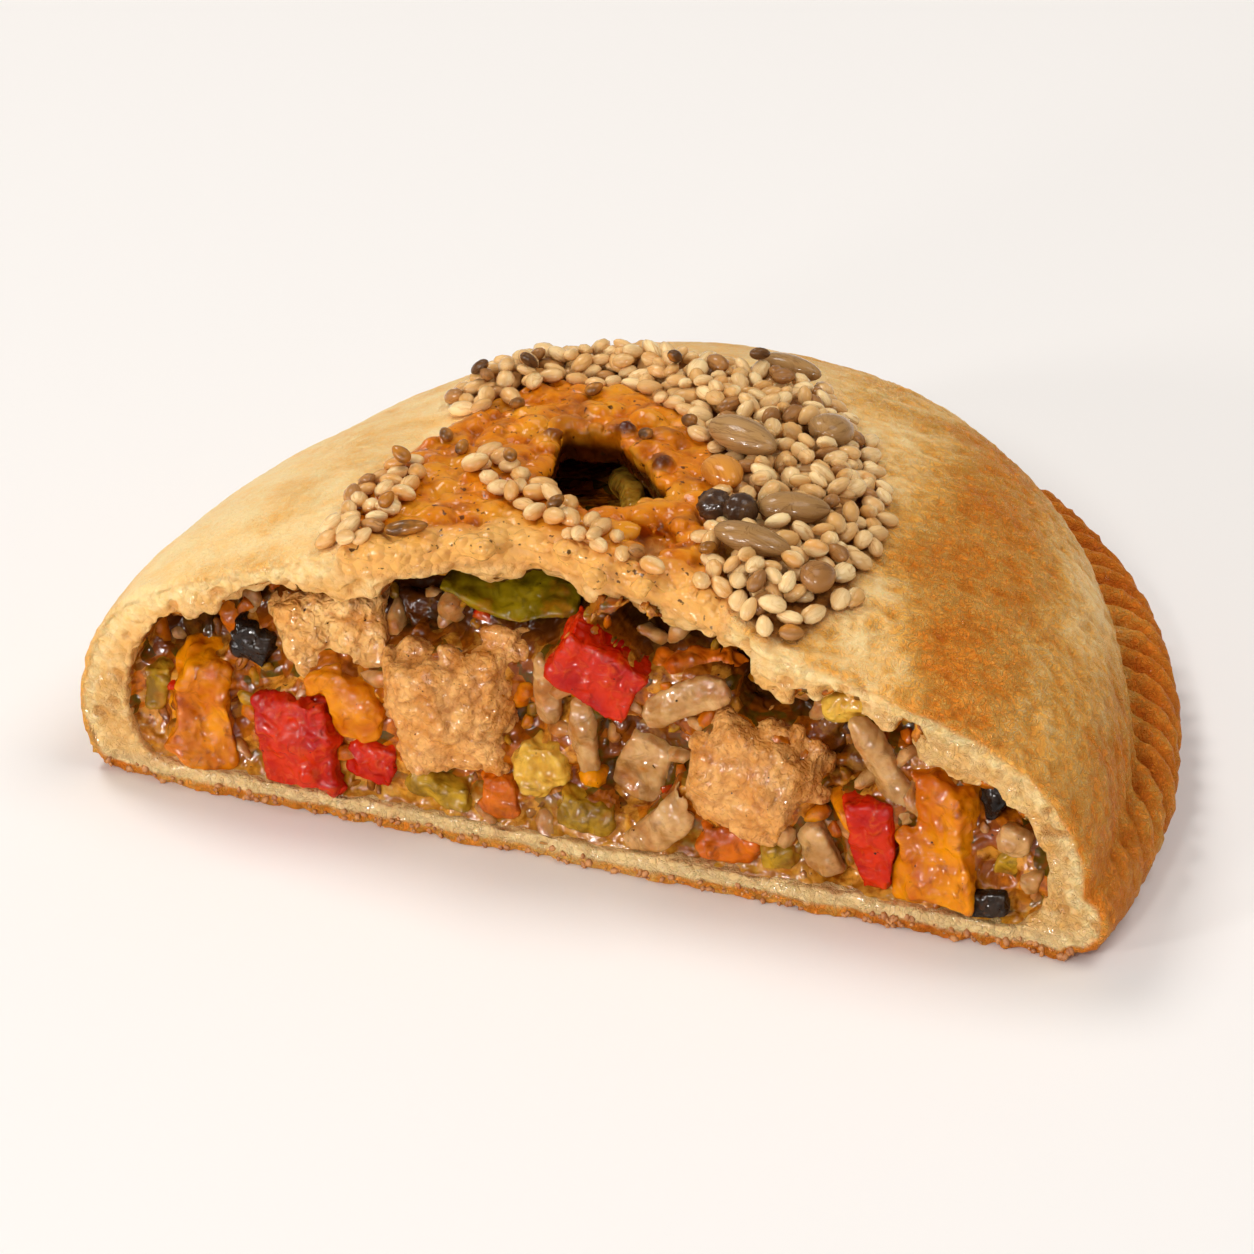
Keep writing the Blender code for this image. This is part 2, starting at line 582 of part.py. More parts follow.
def filling_pieces():
    """The pieces that show at the cut, most prominent first; later ones give way."""
    return [
        (block("chicken_left", (-15.4, 6.4, 14.8), (13.0, 12.0, 13.2), 6, 12, cuts=2,
               rough=0.2, seed=1), CHICKEN_COLOUR),
        (block("chicken_right", (19.2, 6.4, 13.4), (12.6, 12.0, 12.4), -14, -8, cuts=2,
               rough=0.2, seed=2), CHICKEN_COLOUR),
        (block("pepper_mid", (1.9, 4.4, 23.4), (10.2, 7.0, 6.6), -30, 10, roundness=0.2,
               cuts=2, seed=3), PEPPER_COLOUR),
        (strip("onion_mid", (11.8, 3.8, 21.2), (4.4, 2.8, 11.0), -64, 0, 0.2, 4), ONION_COLOUR),
        (strip("onion_right", (34.2, 3.2, 17.4), (4.0, 3.0, 14.0), 27, 0, -0.3, 5), ONION_COLOUR),
        (strip("onion_stem", (0.2, 3.8, 14.4), (3.4, 2.6, 9.6), 8, 0, 0.1, 6), ONION_COLOUR),
        (strip("onion_curved", (10.2, 2.4, 6.9), (4.4, 3.0, 11.4), -40, 0, -0.5, 7), ONION_COLOUR),
        (block("pepper_left", (-32.4, 2.4, 8.8), (9.4, 5.0, 10.6), 6, 0, roundness=0.2,
               cuts=2, seed=8), PEPPER_COLOUR),
        (block("squash_left", (-45.0, 4.8, 9.7), (7.2, 7.0, 12.8), -8, 20, roundness=0.2,
               taper=0.3, seed=9), SQUASH_COLOUR),
        (block("squash_right", (40.6, 4.8, 10.9), (8.4, 8.0, 15.2), 2, -15, roundness=0.2,
               taper=0.12, seed=10), SQUASH_COLOUR),
        (block("squash_mid", (-27.2, 3.4, 13.9), (8.6, 5.4, 6.8), 0, 0, rough=0.35,
               seed=11), SQUASH_COLOUR),
        (block("pepper_right", (33.4, 3.0, 8.9), (4.6, 4.4, 11.6), 6, 0, roundness=0.2,
               taper=-0.3, seed=12), PEPPER_COLOUR),
        (block("chicken_pale", (-29.4, 8.6, 19.6), (13.0, 9.0, 9.4), 10, 8, rough=0.2,
               seed=13), PALE_CHICKEN_COLOUR),
        (leaf("leek_leaf", (-9.4, 11.2, 29.0), (15.0, 9.0), 0.9), LEEK_COLOUR),
        (block("carrot_mid", (10.6, 8.6, 22.6), (12.0, 5.6, 5.0), 14, 0, seed=14), CARROT_COLOUR),
        (strip("onion_upright", (-4.2, 4.6, 19.2), (3.2, 2.6, 8.6), 5, 0, 0.0, 15), ONION_COLOUR),
        (block("zucchini_yellow", (-4.2, 4.2, 10.2), (6.2, 5.0, 5.2), 20, 0, seed=16), GREEN_COLOUR),
        (block("onion_flake", (6.6, 6.6, 10.8), (6.0, 3.0, 8.0), -18, 0, 0.5, seed=17), ONION_COLOUR),
        (block("carrot_low", (17.4, 3.0, 5.9), (7.0, 4.6, 4.4), -8, 0, seed=18), CARROT_COLOUR),
        (block("zucchini_dark", (1.2, 4.0, 5.9), (6.6, 5.0, 4.4), -5, 0, seed=19), GREEN_COLOUR),
        (block("carrot_left", (-8.6, 3.2, 6.3), (4.6, 4.4, 4.8), 12, 0, seed=20), CARROT_COLOUR),
        (block("pepper_small", (-23.6, 3.4, 7.6), (5.6, 4.4, 5.4), -8, 0, seed=21), PEPPER_COLOUR),
        (block("zucchini_flat", (-15.6, 2.8, 5.4), (7.8, 4.4, 3.4), -4, 0, 0.6, seed=22), GREEN_COLOUR),
        (strip("onion_low", (27.4, 3.2, 6.4), (3.8, 2.8, 6.6), 30, 0, 0.3, 23), ONION_COLOUR),
        (block("zucchini_pale", (23.3, 2.4, 5.5), (4.2, 3.6, 3.6), 0, 0, 0.6, seed=24), GREEN_COLOUR),
        (block("zucchini_right", (49.2, 5.6, 8.6), (5.6, 5.4, 6.0), 0, 0, 0.6, seed=25), GREEN_COLOUR),
        (block("zucchini_left", (-49.8, 4.6, 11.0), (4.4, 4.4, 6.4), 0, 0, 0.6, seed=26), GREEN_COLOUR),
        (block("mushroom_dark", (-39.0, 5.4, 18.2), (4.4, 4.0, 5.2), -15, 0, rough=0.3,
               seed=27), DARK_COLOUR),
        (block("mushroom_left", (-38.6, 8.4, 8.8), (4.4, 4.6, 8.0), 0, 0, rough=0.3,
               seed=28), HEAP_COLOUR),
        (block("char_right", (45.2, 5.4, 16.2), (3.6, 3.8, 5.2), -30, 0, rough=0.3,
               seed=29), DARK_COLOUR),
        (block("skin_right", (45.8, 1.4, 4.8), (5.4, 1.8, 3.0), 8, 0, rough=0.2,
               seed=30), DARK_COLOUR),
        (block("carrot_back_right", (36.4, 9.0, 21.0), (6.6, 5.4, 5.6), 0, 0, rough=0.25,
               seed=31), CARROT_COLOUR),
        (strip("bean_right", (30.0, 5.4, 23.4), (3.8, 3.6, 7.0), -75, 0, 0.2, 32), GREEN_COLOUR),
        (block("onion_dice", (48.6, 2.6, 12.6), (3.4, 2.6, 3.8), -12, 0, 0.5, seed=33), ONION_COLOUR),
        (block("onion_tip", (51.4, 2.2, 8.2), (3.4, 2.0, 2.6), 20, 0, 0.6, seed=34), ONION_COLOUR),
        (block("carrot_back_left", (-40.6, 9.4, 19.6), (6.8, 5.2, 5.0), 8, 0, rough=0.25,
               seed=35), CARROT_COLOUR),
        (strip("bean_vent", (-5.0, 32.5, 28.6), (3.6, 3.6, 13.0), -86, -62, 0.3, 36), GREEN_COLOUR),
    ]


def fit_pieces(room_gap):
    """Trims every piece to the cavity and to the pieces placed before it."""
    placed = []
    for piece, colour in filling_pieces():
        room = bun("room", lambda a: dome_radius(a) - wall_thickness(a) - room_gap,
                   BASE_THICKNESS + room_gap, CAVITY_BELLY, DOME_TOP - ROOF_THICKNESS - room_gap,
                   cavity_corner, 36, 18, sag=ceiling_sag)
        combine(piece, "INTERSECT", room, solver="MANIFOLD")
        for other, _ in placed:
            if boxes_meet(piece, other, GAP):
                combine(piece, "DIFFERENCE", grown_copy(other, GAP + 0.05), solver="MANIFOLD")
        keep_largest_body(piece)
        placed.append((piece, colour))
    return placed


def heap_front_cutter():
    """Cuts the heap back from the cut plane to a lumpy face."""
    bm = bmesh.new()
    bmesh.ops.create_grid(bm, x_segments=22, y_segments=7, size=1.0)
    for vert in bm.verts:
        x = vert.co.x * 66.0
        z = vert.co.y * 22.0 + 18.0
        uneven = 1.5 * lumps(Vector((x, 0.0, z)), 4.0, seed=11.0)
        lean = 3.0 * ramp(z, 14, 27)
        vert.co = Vector((x, HEAP_FRONT + uneven + lean, z))
    moved = bmesh.ops.extrude_face_region(bm, geom=bm.faces[:])["geom"]
    for vert in [item for item in moved if isinstance(item, bmesh.types.BMVert)]:
        vert.co.y = -130.0
    return solid("heap_front_cutter", bm)


def filling_heap(pieces):
    """The mass of sauce and small bits that the larger pieces lie in."""
    heap = bun("filling_heap", lambda a: dome_radius(a) - wall_thickness(a) - GAP - 0.1,
               BASE_THICKNESS + GAP, CAVITY_BELLY, HEAP_TOP, cavity_corner, 36, 18, rough=1.6)
    combine(heap, "DIFFERENCE", heap_front_cutter(), solver="MANIFOLD")
    for piece, _ in pieces:
        pocket = bpy.data.objects[piece.name + "_pocket"]
        combine(heap, "DIFFERENCE", pocket, solver="MANIFOLD")
    keep_largest_body(heap)
    return heap


# ---------------------------------------------------------------- assembly
def finish(thing, colour, roughness=0.5):
    """Moves a finished mesh to the frame, in metres, and gives it its own material."""
    thing.data.transform(Matrix.Translation(-FOOTPRINT_MIDDLE))
    thing.data.transform(Matrix.Scale(MM, 4))
    thing.data.materials.clear()
    thing.data.materials.append(material(thing.name + "_finish", colour, roughness))
    thing.hide_render = False
    thing.display_type = "TEXTURED"
    if thing.name in cutters.objects:
        cutters.objects.unlink(thing)
        parts.objects.link(thing)


shell_object = pastry_shell()
filling = fit_pieces(GAP + 0.05)
heap_object = filling_heap(filling)
finish(shell_object, PASTRY_COLOUR, 0.65)
finish(heap_object, HEAP_COLOUR, 0.4)
for filling_object, filling_colour in filling:
    finish(filling_object, filling_colour, 0.35)
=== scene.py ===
import math
import random

import bmesh
import bpy
import numpy as np
from mathutils import Euler, Matrix, Vector
from mathutils.bvhtree import BVHTree


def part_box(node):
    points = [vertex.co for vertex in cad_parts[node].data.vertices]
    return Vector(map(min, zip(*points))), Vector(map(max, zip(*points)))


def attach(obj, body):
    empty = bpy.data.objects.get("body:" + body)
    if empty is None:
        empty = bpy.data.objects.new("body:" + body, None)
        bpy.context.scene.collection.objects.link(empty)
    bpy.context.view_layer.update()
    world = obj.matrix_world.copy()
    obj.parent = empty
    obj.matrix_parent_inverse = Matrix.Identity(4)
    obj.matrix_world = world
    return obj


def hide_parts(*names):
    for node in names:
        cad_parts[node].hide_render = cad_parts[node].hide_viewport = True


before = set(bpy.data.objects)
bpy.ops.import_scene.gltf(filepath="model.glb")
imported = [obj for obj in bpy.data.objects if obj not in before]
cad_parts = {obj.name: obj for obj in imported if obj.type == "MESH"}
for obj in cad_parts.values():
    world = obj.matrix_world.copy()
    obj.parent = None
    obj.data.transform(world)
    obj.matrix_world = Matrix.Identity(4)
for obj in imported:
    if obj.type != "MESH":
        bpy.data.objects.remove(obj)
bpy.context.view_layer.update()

# ------------------------------------------------------------------ the set
# A pale seamless table, a soft window lamp high on the left and a broad one overhead, with three
# small fill lamps in front, five tiny ones that only sparkle in the gravy, and pale air all round.
# The camera looks down on the cut face from a little to its right.
MM = 0.001
GRAVY_IOR = 1.42             # how strongly the thin, fatty film of gravy bends light
CUT_MIDDLE = Vector((0.3, 49.7, 0.0))      # mm, from the middle of the cut to the frame's origin
VIEW_AZIMUTH = math.radians(19.7)
VIEW_ELEVATION = math.radians(30.0)
VIEW_DISTANCE = 0.4367
VIEW_TARGET = (Vector((6.54, 0.0, 31.31)) - CUT_MIDDLE) * MM


def tone(red, green, blue):
    """A colour as it looks on a screen, 0 to 255, turned into what the shader wants."""
    return tuple(((part / 255 + 0.055) / 1.055) ** 2.4 for part in (red, green, blue)) + (1.0,)


def put_in_scene(name, data):
    thing = bpy.data.objects.new(name, data)
    bpy.context.scene.collection.objects.link(thing)
    return thing


lens = bpy.data.cameras.new("camera")
lens.lens = 120.0
lens.sensor_width = 36.0
lens.clip_start = 0.01
camera = put_in_scene("camera", lens)
towards_camera = Vector((
    math.sin(VIEW_AZIMUTH) * math.cos(VIEW_ELEVATION),
    -math.cos(VIEW_AZIMUTH) * math.cos(VIEW_ELEVATION),
    math.sin(VIEW_ELEVATION)))
camera.location = VIEW_TARGET + towards_camera * VIEW_DISTANCE
camera.rotation_euler = towards_camera.to_track_quat("Z", "Y").to_euler()
bpy.context.scene.camera = camera
bpy.context.scene.view_settings.view_transform = "Standard"

air = bpy.data.worlds.new("studio_air")
air.use_nodes = True
air.node_tree.nodes["Background"].inputs["Color"].default_value = (1.0, 0.975, 0.955, 1.0)
air.node_tree.nodes["Background"].inputs["Strength"].default_value = 0.25
bpy.context.scene.world = air


def lamp(name, place, aim, size, power, colour):
    light = bpy.data.lights.new(name, "AREA")
    light.shape = "DISK"
    light.size = size
    light.energy = power
    light.color = colour
    thing = put_in_scene(name, light)
    thing.location = place
    thing.rotation_euler = (Vector(place) - Vector(aim)).to_track_quat("Z", "Y").to_euler()
    return thing


lamp("window_left", (-0.72, 0.34, 1.18), (0.0, 0.0, 0.0), 0.50, 7.6, (1.0, 0.975, 0.94))
lamp("overhead", (0.50, 0.10, 1.10), (0.0, 0.0, 0.0), 0.70, 5.0, (1.0, 0.98, 0.955))
lamp("front_high", (-0.05, -1.05, 0.75), (0.0, 0.0, 0.02), 0.16, 3.0, (1.0, 0.965, 0.93))
lamp("front_left", (-0.62, -0.85, 0.35), (0.0, 0.0, 0.02), 0.14, 2.5, (1.0, 0.965, 0.93))
lamp("front_low", (-0.30, -1.00, 0.16), (0.0, 0.0, 0.02), 0.14, 2.2, (1.0, 0.965, 0.93))

# how far round to the left and how far up each sparkling lamp stands, in degrees, a metre away
SPARKLES = ((55, 16), (32, 7), (10, 17), (-14, 8), (-38, 18))
for number, (round_left, raised) in enumerate(SPARKLES):
    round_left = math.radians(round_left)
    raised = math.radians(raised)
    spot = (-math.sin(round_left) * math.cos(raised), -math.cos(round_left) * math.cos(raised),
            math.sin(raised))
    sparkle = lamp("sparkle_%d" % number, spot, (0.0, -0.04, 0.02), 0.09, 3.6, (1.0, 0.98, 0.95))
    sparkle.visible_diffuse = False
    sparkle.visible_camera = False

table_mesh = bmesh.new()
bmesh.ops.create_grid(table_mesh, x_segments=8, y_segments=8, size=3.0)
table_data = bpy.data.meshes.new("table")
table_mesh.to_mesh(table_data)
table_mesh.free()
table = put_in_scene("table", table_data)
table_finish = bpy.data.materials.new("pale_table")
table_finish.use_nodes = True
table_shader = table_finish.node_tree.nodes["Principled BSDF"]
table_shader.inputs["Roughness"].default_value = 0.7
table_shader.inputs["Specular IOR Level"].default_value = 0.2
table_cloud = table_finish.node_tree.nodes.new("ShaderNodeTexNoise")
table_cloud.inputs["Scale"].default_value = 3.0
table_mix = table_finish.node_tree.nodes.new("ShaderNodeMix")
table_mix.data_type = "RGBA"
table_mix.inputs["A"].default_value = (0.93, 0.905, 0.885, 1.0)
table_mix.inputs["B"].default_value = (0.95, 0.925, 0.905, 1.0)
table_finish.node_tree.links.new(table_cloud.outputs["Fac"], table_mix.inputs["Factor"])
table_finish.node_tree.links.new(table_mix.outputs["Result"], table_shader.inputs["Base Color"])
table_data.materials.append(table_finish)

# ------------------------------------------------------------------ pastry shell
# A baked yeast-dough turnover, cut across its middle: a domed roof over a flat base, rolled into
# a crimped rope round the right and the back. It is pale on the left and browner at the right.
# The roof tore back at its steam vent, so its lip over the filling is ragged and bubbly.
PLAN_CENTRE = np.array([-3.7, 13.0, 0.0])
LEFT_END = -60.6
RIGHT_END = 60.6
BACK_REACH = 86.6
FRONT_REACH = 62.0
PLAN_POWER = 2.03
DOME_TOP = 35.2
BELLY_HEIGHT = 7.5
DOME_POWER = 2.5
CRIMP_WIDTH = 8.8
CRIMP_HEIGHT = 9.6
CRIMP_START = -17.0          # degrees round the plan, from the right end towards the back
CRIMP_END = 168.0
FLUTE_PITCH = 5.0
ROOF_THICKNESS = 3.4
BASE_THICKNESS = 2.8
VENT_CENTRE = Vector((-5.4, 24.6, 0.0))
VENT_LENGTH = 19.6
VENT_WIDTH = 12.6
VENT_TURN = math.radians(126)
DIP_CENTRE = Vector((4.6, 12.4, 34.4))
DIP_SIZE = Vector((11.0, 6.6, 4.4))
SHELL_GRAIN = 0.56           # mm, the size of the faces that carry the crust's relief

SAUCE_EDGE = [(-26, -6), (-26.5, 2), (-28.9, 8.4), (-28.5, 21.5), (-26.5, 31.3), (-24, 36.5),
              (-23.4, 40.6), (-18.2, 46.3), (-8.8, 47.3), (-0.2, 39.9), (6.9, 30.2),
              (12.3, 19), (14.5, 8.1), (15.5, 1.5), (16, -6)]

SEED_FIELD = [(-29.9, 41.5), (-28.4, 53.5), (-24.3, 56), (-8, 58.5), (11, 56.9), (17.6, 47.1),
              (23.3, 36), (26.4, 27.4), (27.3, 15.3), (27, 9.1), (24.7, 2.5), (21.9, 0.5),
              (17.0, 3.6), (12.1, 7.2), (12.3, 16.6), (6.9, 29.2), (-0.2, 39.9), (-8.8, 47.3),
              (-18.2, 46.3), (-24, 35.8)]


def lobe(value, centre, reach):
    """A smooth bump: 1 at the centre, 0 beyond the reach."""
    t = np.minimum(np.abs(value - centre) / reach, 1.0)
    return (1.0 - t * t) ** 2


def ramp(value, start, end):
    """A smooth step from 0 at the start to 1 at the end."""
    t = np.clip((value - start) / (end - start), 0.0, 1.0)
    return t * t * (3.0 - 2.0 * t)


def scramble(cell):
    """A number from 0 to 1 for every whole-numbered cell, always the same for the same cell."""
    mixed = cell[..., 0] * 73856093 ^ cell[..., 1] * 19349663 ^ cell[..., 2] * 83492791
    mixed = (mixed ^ (mixed >> 13)) * 1274126177 & 0x7FFFFFFF
    mixed = (mixed ^ (mixed >> 15)) * 2246822519 & 0x7FFFFFFF
    return (mixed & 0xFFFFF) / float(0xFFFFF)


def grain(points, size, seed=0.0):
    """Smooth noise between about -1 and 1, with features of that size in mm."""
    place = points / size + np.array([seed * 5.31, seed * 2.73, seed * 9.17]) + 100.0
    cell = np.floor(place).astype(np.int64)
    inside = place - cell
    blend = inside ** 3 * (inside * (inside * 6.0 - 15.0) + 10.0)
    total = np.zeros(len(points))
    for step in np.ndindex(2, 2, 2):
        corner = cell + np.array(step)
        across = inside - np.array(step)
        turn = scramble(corner) * 2.0 * np.pi
        rise = scramble(corner + 57) * 2.0 - 1.0
        flat = np.sqrt(1.0 - rise * rise)
        slope = across[:, 0] * flat * np.cos(turn) + across[:, 1] * flat * np.sin(turn)
        slope += across[:, 2] * rise
        weight = np.prod(np.where(np.array(step) == 1, blend, 1.0 - blend), axis=1)
        total += weight * slope
    return total * 1.7


def cobbles(points, size, seed=0.0):
    """How far each point is from the nearest of some strewn centres, as a share of the size."""
    place = points / size + np.array([seed * 3.7, seed * 8.1, seed * 1.9]) + 100.0
    cell = np.floor(place).astype(np.int64)
    nearest = np.full(len(points), 9.0)
    for step in np.ndindex(3, 3, 3):
        corner = cell + np.array(step) - 1
        centre = corner + np.stack([scramble(corner + 11 * axis) for axis in range(3)], axis=1)
        nearest = np.minimum(nearest, np.linalg.norm(centre - place, axis=1))
    return nearest


def inside_outline(x, y, outline):
    """How far each point of the plan is inside a closed outline: positive inside, in mm."""
    closest = np.full(x.shape, 1e9)
    crossings = np.zeros(x.shape, dtype=int)
    for (ax, ay), (bx, by) in zip(outline, outline[1:] + outline[:1]):
        length = (bx - ax) ** 2 + (by - ay) ** 2
        along = np.clip(((x - ax) * (bx - ax) + (y - ay) * (by - ay)) / length, 0.0, 1.0)
        closest = np.minimum(closest, np.hypot(x - ax - along * (bx - ax), y - ay - along * (by - ay)))
        if ay != by:
            crosses = ((ay > y) != (by > y)) & (x < (bx - ax) * (y - ay) / (by - ay) + ax)
            crossings += crosses
    return np.where(crossings % 2 == 1, closest, -closest)


def unwrap(angle):
    return np.where(angle < -np.pi / 2, angle + 2 * np.pi, angle)


def outline_radius(angle):
    """Distance from the plan centre to the outer edge in one direction."""
    cosine = np.cos(angle)
    sine = np.sin(angle)
    along = np.where(cosine >= 0, RIGHT_END - PLAN_CENTRE[0], PLAN_CENTRE[0] - LEFT_END)
    across = np.where(sine >= 0, BACK_REACH, FRONT_REACH)
    total = np.abs(cosine / along) ** PLAN_POWER + np.abs(sine / across) ** PLAN_POWER
    return total ** (-1.0 / PLAN_POWER)


def crimp_share(angle):
    """How much of the crimp's width shows: little at the cut ends, all at the back."""
    turn = np.degrees(unwrap(angle))
    return ramp(turn, -45, 65) * ramp(turn, 220, 90)


def dome_radius(angle):
    return outline_radius(angle) - CRIMP_WIDTH * crimp_share(angle)


def foot_tuck(angle):
    """The side curves in under the belly at the left, and stands nearly upright at the right."""
    turn = np.degrees(unwrap(angle))
    return 1.3 + 3.2 * ramp(turn, 60, 170) + 1.8 * lobe(turn, -15, 22)


def cavity_radius(angle):
    side = np.where(np.cos(angle) >= 0, 4.8, 5.7)
    return dome_radius(angle) - side - (7.0 - side) * np.maximum(np.sin(angle), 0.0)


def roof_sag(x, y):
    """The roof has sunk a little towards the cut."""
    return (2.6 * lobe(x, 36, 34) + 1.7 * lobe(x, -41, 18)) * (1.0 - ramp(y, -2, 15))


def ceiling_sag(x, y):
    """The underside of the roof at the cut, with drips of dough that hang from its lip."""
    sag = 1.0 * lobe(x, 28, 20) + 3.0 * lobe(x, 48, 14)
    drips = 2.6 * lobe(x, -25.5, 4.5) + 2.4 * lobe(x, 23, 5) + 1.2 * lobe(x, 9, 3.5)
    drips = drips + 0.9 * lobe(x, -12, 3) + 1.0 * lobe(x, -40, 4) + 0.8 * lobe(x, 41, 3)
    drips = drips + 1.7 * lobe(x, 1.5, 6) + 0.8 * lobe(x, -45, 5)
    return sag * (1.0 - ramp(y, 0, 15)) + drips * (1.0 - ramp(y, 2, 7))


def roof_height(x, y):
    """Height of the baked surface over a point of the plan."""
    dx = x - PLAN_CENTRE[0]
    dy = y - PLAN_CENTRE[1]
    share = np.minimum(np.hypot(dx, dy) / dome_radius(np.arctan2(dy, dx)), 1.0)
    rise = (1.0 - share ** DOME_POWER) ** (1.0 / DOME_POWER)
    return BELLY_HEIGHT + (DOME_TOP - BELLY_HEIGHT) * rise - roof_sag(x, y)


def cut_depth(x, z):
    """How far behind the cut plane the broken edge lies: the roof tore back at the vent."""
    torn = 6.5 * lobe(x, -6, 18) + 3.0 * lobe(x, 11, 11)
    place = np.stack([x, 0 * x, z], axis=-1)
    ragged = 0.45 + 0.40 * grain(place, 5.0, 4) + 0.22 * grain(place, 1.9, 5)
    return torn * ramp(z, 24, 30) + ragged + 1.2 * lobe(z, 0, 3) * lobe(x, -56, 9)


def from_bmesh(name, bm):
    data = bpy.data.meshes.new(name)
    bm.to_mesh(data)
    bm.free()
    return put_in_scene(name, data)


def settle(thing):
    """Makes what the modifiers show the object's own mesh."""
    graph = bpy.context.evaluated_depsgraph_get()
    data = bpy.data.meshes.new_from_object(thing.evaluated_get(graph))
    thing.modifiers.clear()
    thing.data = data


def knead(thing, operation, other):
    """Joins another lump of dough to this one, or cuts it away, and uses it up."""
    boolean = thing.modifiers.new("knead", "BOOLEAN")
    boolean.operation = operation
    boolean.solver = "MANIFOLD"
    boolean.object = other
    settle(thing)
    bpy.data.objects.remove(other, do_unlink=True)


def even_out(thing, size, smooth=0):
    """Rebuilds the surface from even faces of that size in mm."""
    grid = thing.modifiers.new("even_out", "REMESH")
    grid.mode = "VOXEL"
    grid.voxel_size = size
    if smooth:
        relax = thing.modifiers.new("relax", "SMOOTH")
        relax.iterations = smooth
        relax.factor = 0.5
    settle(thing)


def points_of(thing):
    flat = np.empty(len(thing.data.vertices) * 3)
    thing.data.vertices.foreach_get("co", flat)
    return flat.reshape(-1, 3)


def normals_of(thing):
    flat = np.empty(len(thing.data.vertices) * 3)
    thing.data.vertex_normals.foreach_get("vector", flat)
    return flat.reshape(-1, 3)


def move_points(thing, places):
    thing.data.vertices.foreach_set("co", places.reshape(-1))
    thing.data.update()


def skin_tree(thing):
    """A finder of the nearest place on a piece's surface, as it is now."""
    data = thing.data
    return BVHTree.FromPolygons([vert.co for vert in data.vertices],
                                [face.vertices for face in data.polygons])


def depth_below(skin, places):
    """How far each place is from a surface."""
    return np.array([skin.find_nearest(Vector(place))[3] for place in places])


def soften_where(thing, shares, passes):
    """Relaxes the surface where the share is above 0, most where it is 1."""
    group = thing.vertex_groups.new(name="soft")
    for step in range(1, 6):
        chosen = np.nonzero((shares > (step - 1) / 5 + 0.02) & (shares <= step / 5 + 0.02))[0]
        if len(chosen):
            group.add([int(i) for i in chosen], step / 5, "REPLACE")
    relax = thing.modifiers.new("soften", "SMOOTH")
    relax.vertex_group = "soft"
    relax.iterations = passes
    relax.factor = 0.5
    settle(thing)
    thing.vertex_groups.clear()


def write_mask(thing, name, values):
    layer = thing.data.attributes.new(name, "FLOAT", "POINT")
    layer.data.foreach_set("value", np.asarray(values, dtype=np.float32))


def finish_piece(thing, finish, slot, *nodes):
    """Puts a piece that was made in mm round the cut into the frame, with its finish."""
    thing.data.transform(Matrix.Scale(MM, 4) @ Matrix.Translation(-CUT_MIDDLE))
    thing.data.materials.clear()
    thing.data.materials.append(finish)
    thing.data.shade_smooth()
    if nodes:
        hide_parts(*nodes)
    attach(thing, "root")


def loaf(name, radius_at, floor, belly, top, tuck_at, sag, around=176, rings=88):
    """A ball pressed into a loaf: a dome above, a rounded foot and a flat floor below."""
    bm = bmesh.new()
    bmesh.ops.create_uvsphere(bm, u_segments=around, v_segments=rings, radius=1.0)
    ball = np.array([vert.co for vert in bm.verts])
    angle = np.arctan2(ball[:, 1], ball[:, 0])
    tilt = np.arcsin(np.clip(ball[:, 2], -1.0, 1.0))
    radius = radius_at(angle)
    power = 2.0 / DOME_POWER
    dome_reach = radius * np.maximum(np.cos(tilt), 0.0) ** power
    dome_height = belly + (top - belly) * np.abs(np.sin(tilt)) ** power
    share = np.clip(-tilt / (np.pi / 2), 0.0, 1.0)
    turn = np.minimum(share / 0.3, 1.0) * np.pi / 2
    rest = np.maximum(share - 0.3, 0.0) / 0.7
    foot_reach = (radius - tuck_at(angle) * (1.0 - np.cos(turn))) * (1.0 - rest)
    foot_height = belly - (belly - floor) * np.sin(turn)
    reach = np.where(tilt >= 0, dome_reach, foot_reach)
    height = np.where(tilt >= 0, dome_height, foot_height)
    x = PLAN_CENTRE[0] + reach * np.cos(angle)
    y = PLAN_CENTRE[1] + reach * np.sin(angle)
    height = height - np.where(tilt > 0, sag(x, y) * ramp(height, belly, belly + 8.0), 0.0)
    for vert, place in zip(bm.verts, np.stack([x, y, height], axis=1)):
        vert.co = place
    return from_bmesh(name, bm)


def crimp_roll():
    """The rolled edge before it is pleated: a tube along the outline, thin where it starts."""
    sides = 18
    bm = bmesh.new()
    rings = []
    for degrees in np.arange(CRIMP_START, CRIMP_END + 0.1, 1.2):
        angle = math.radians(degrees)
        left = (CRIMP_END - degrees) / (CRIMP_END - CRIMP_START)
        taper = 0.6 + 0.4 * ramp(left, 0.0, 0.13)
        share = crimp_share(angle)
        half_wide = (0.5 * CRIMP_WIDTH * max(share, 0.45) + 0.8) * taper
        half_high = 0.5 * CRIMP_HEIGHT * (0.75 + 0.25 * share) * taper
        sink = 4.0 * (1.0 - ramp(left, 0.0, 0.13))
        outward = Vector((math.cos(angle), math.sin(angle), 0.0))
        middle = Vector(PLAN_CENTRE) + outward * (outline_radius(angle) - half_wide - sink)
        middle.z = 0.5 * CRIMP_HEIGHT + 0.2
        ring = []
        for side in range(sides):
            turn = 2 * math.pi * side / sides
            offset = outward * half_wide * math.cos(turn)
            ring.append(bm.verts.new(middle + offset + Vector((0, 0, half_high * math.sin(turn)))))
        rings.append([bm.edges.new((ring[i - 1], ring[i])) for i in range(sides)])
    for before, after in zip(rings, rings[1:]):
        bmesh.ops.bridge_loops(bm, edges=before + after)
    bmesh.ops.holes_fill(bm, edges=rings[0] + rings[-1], sides=sides)
    bmesh.ops.recalc_face_normals(bm, faces=bm.faces[:])
    return from_bmesh("crimp_roll", bm)


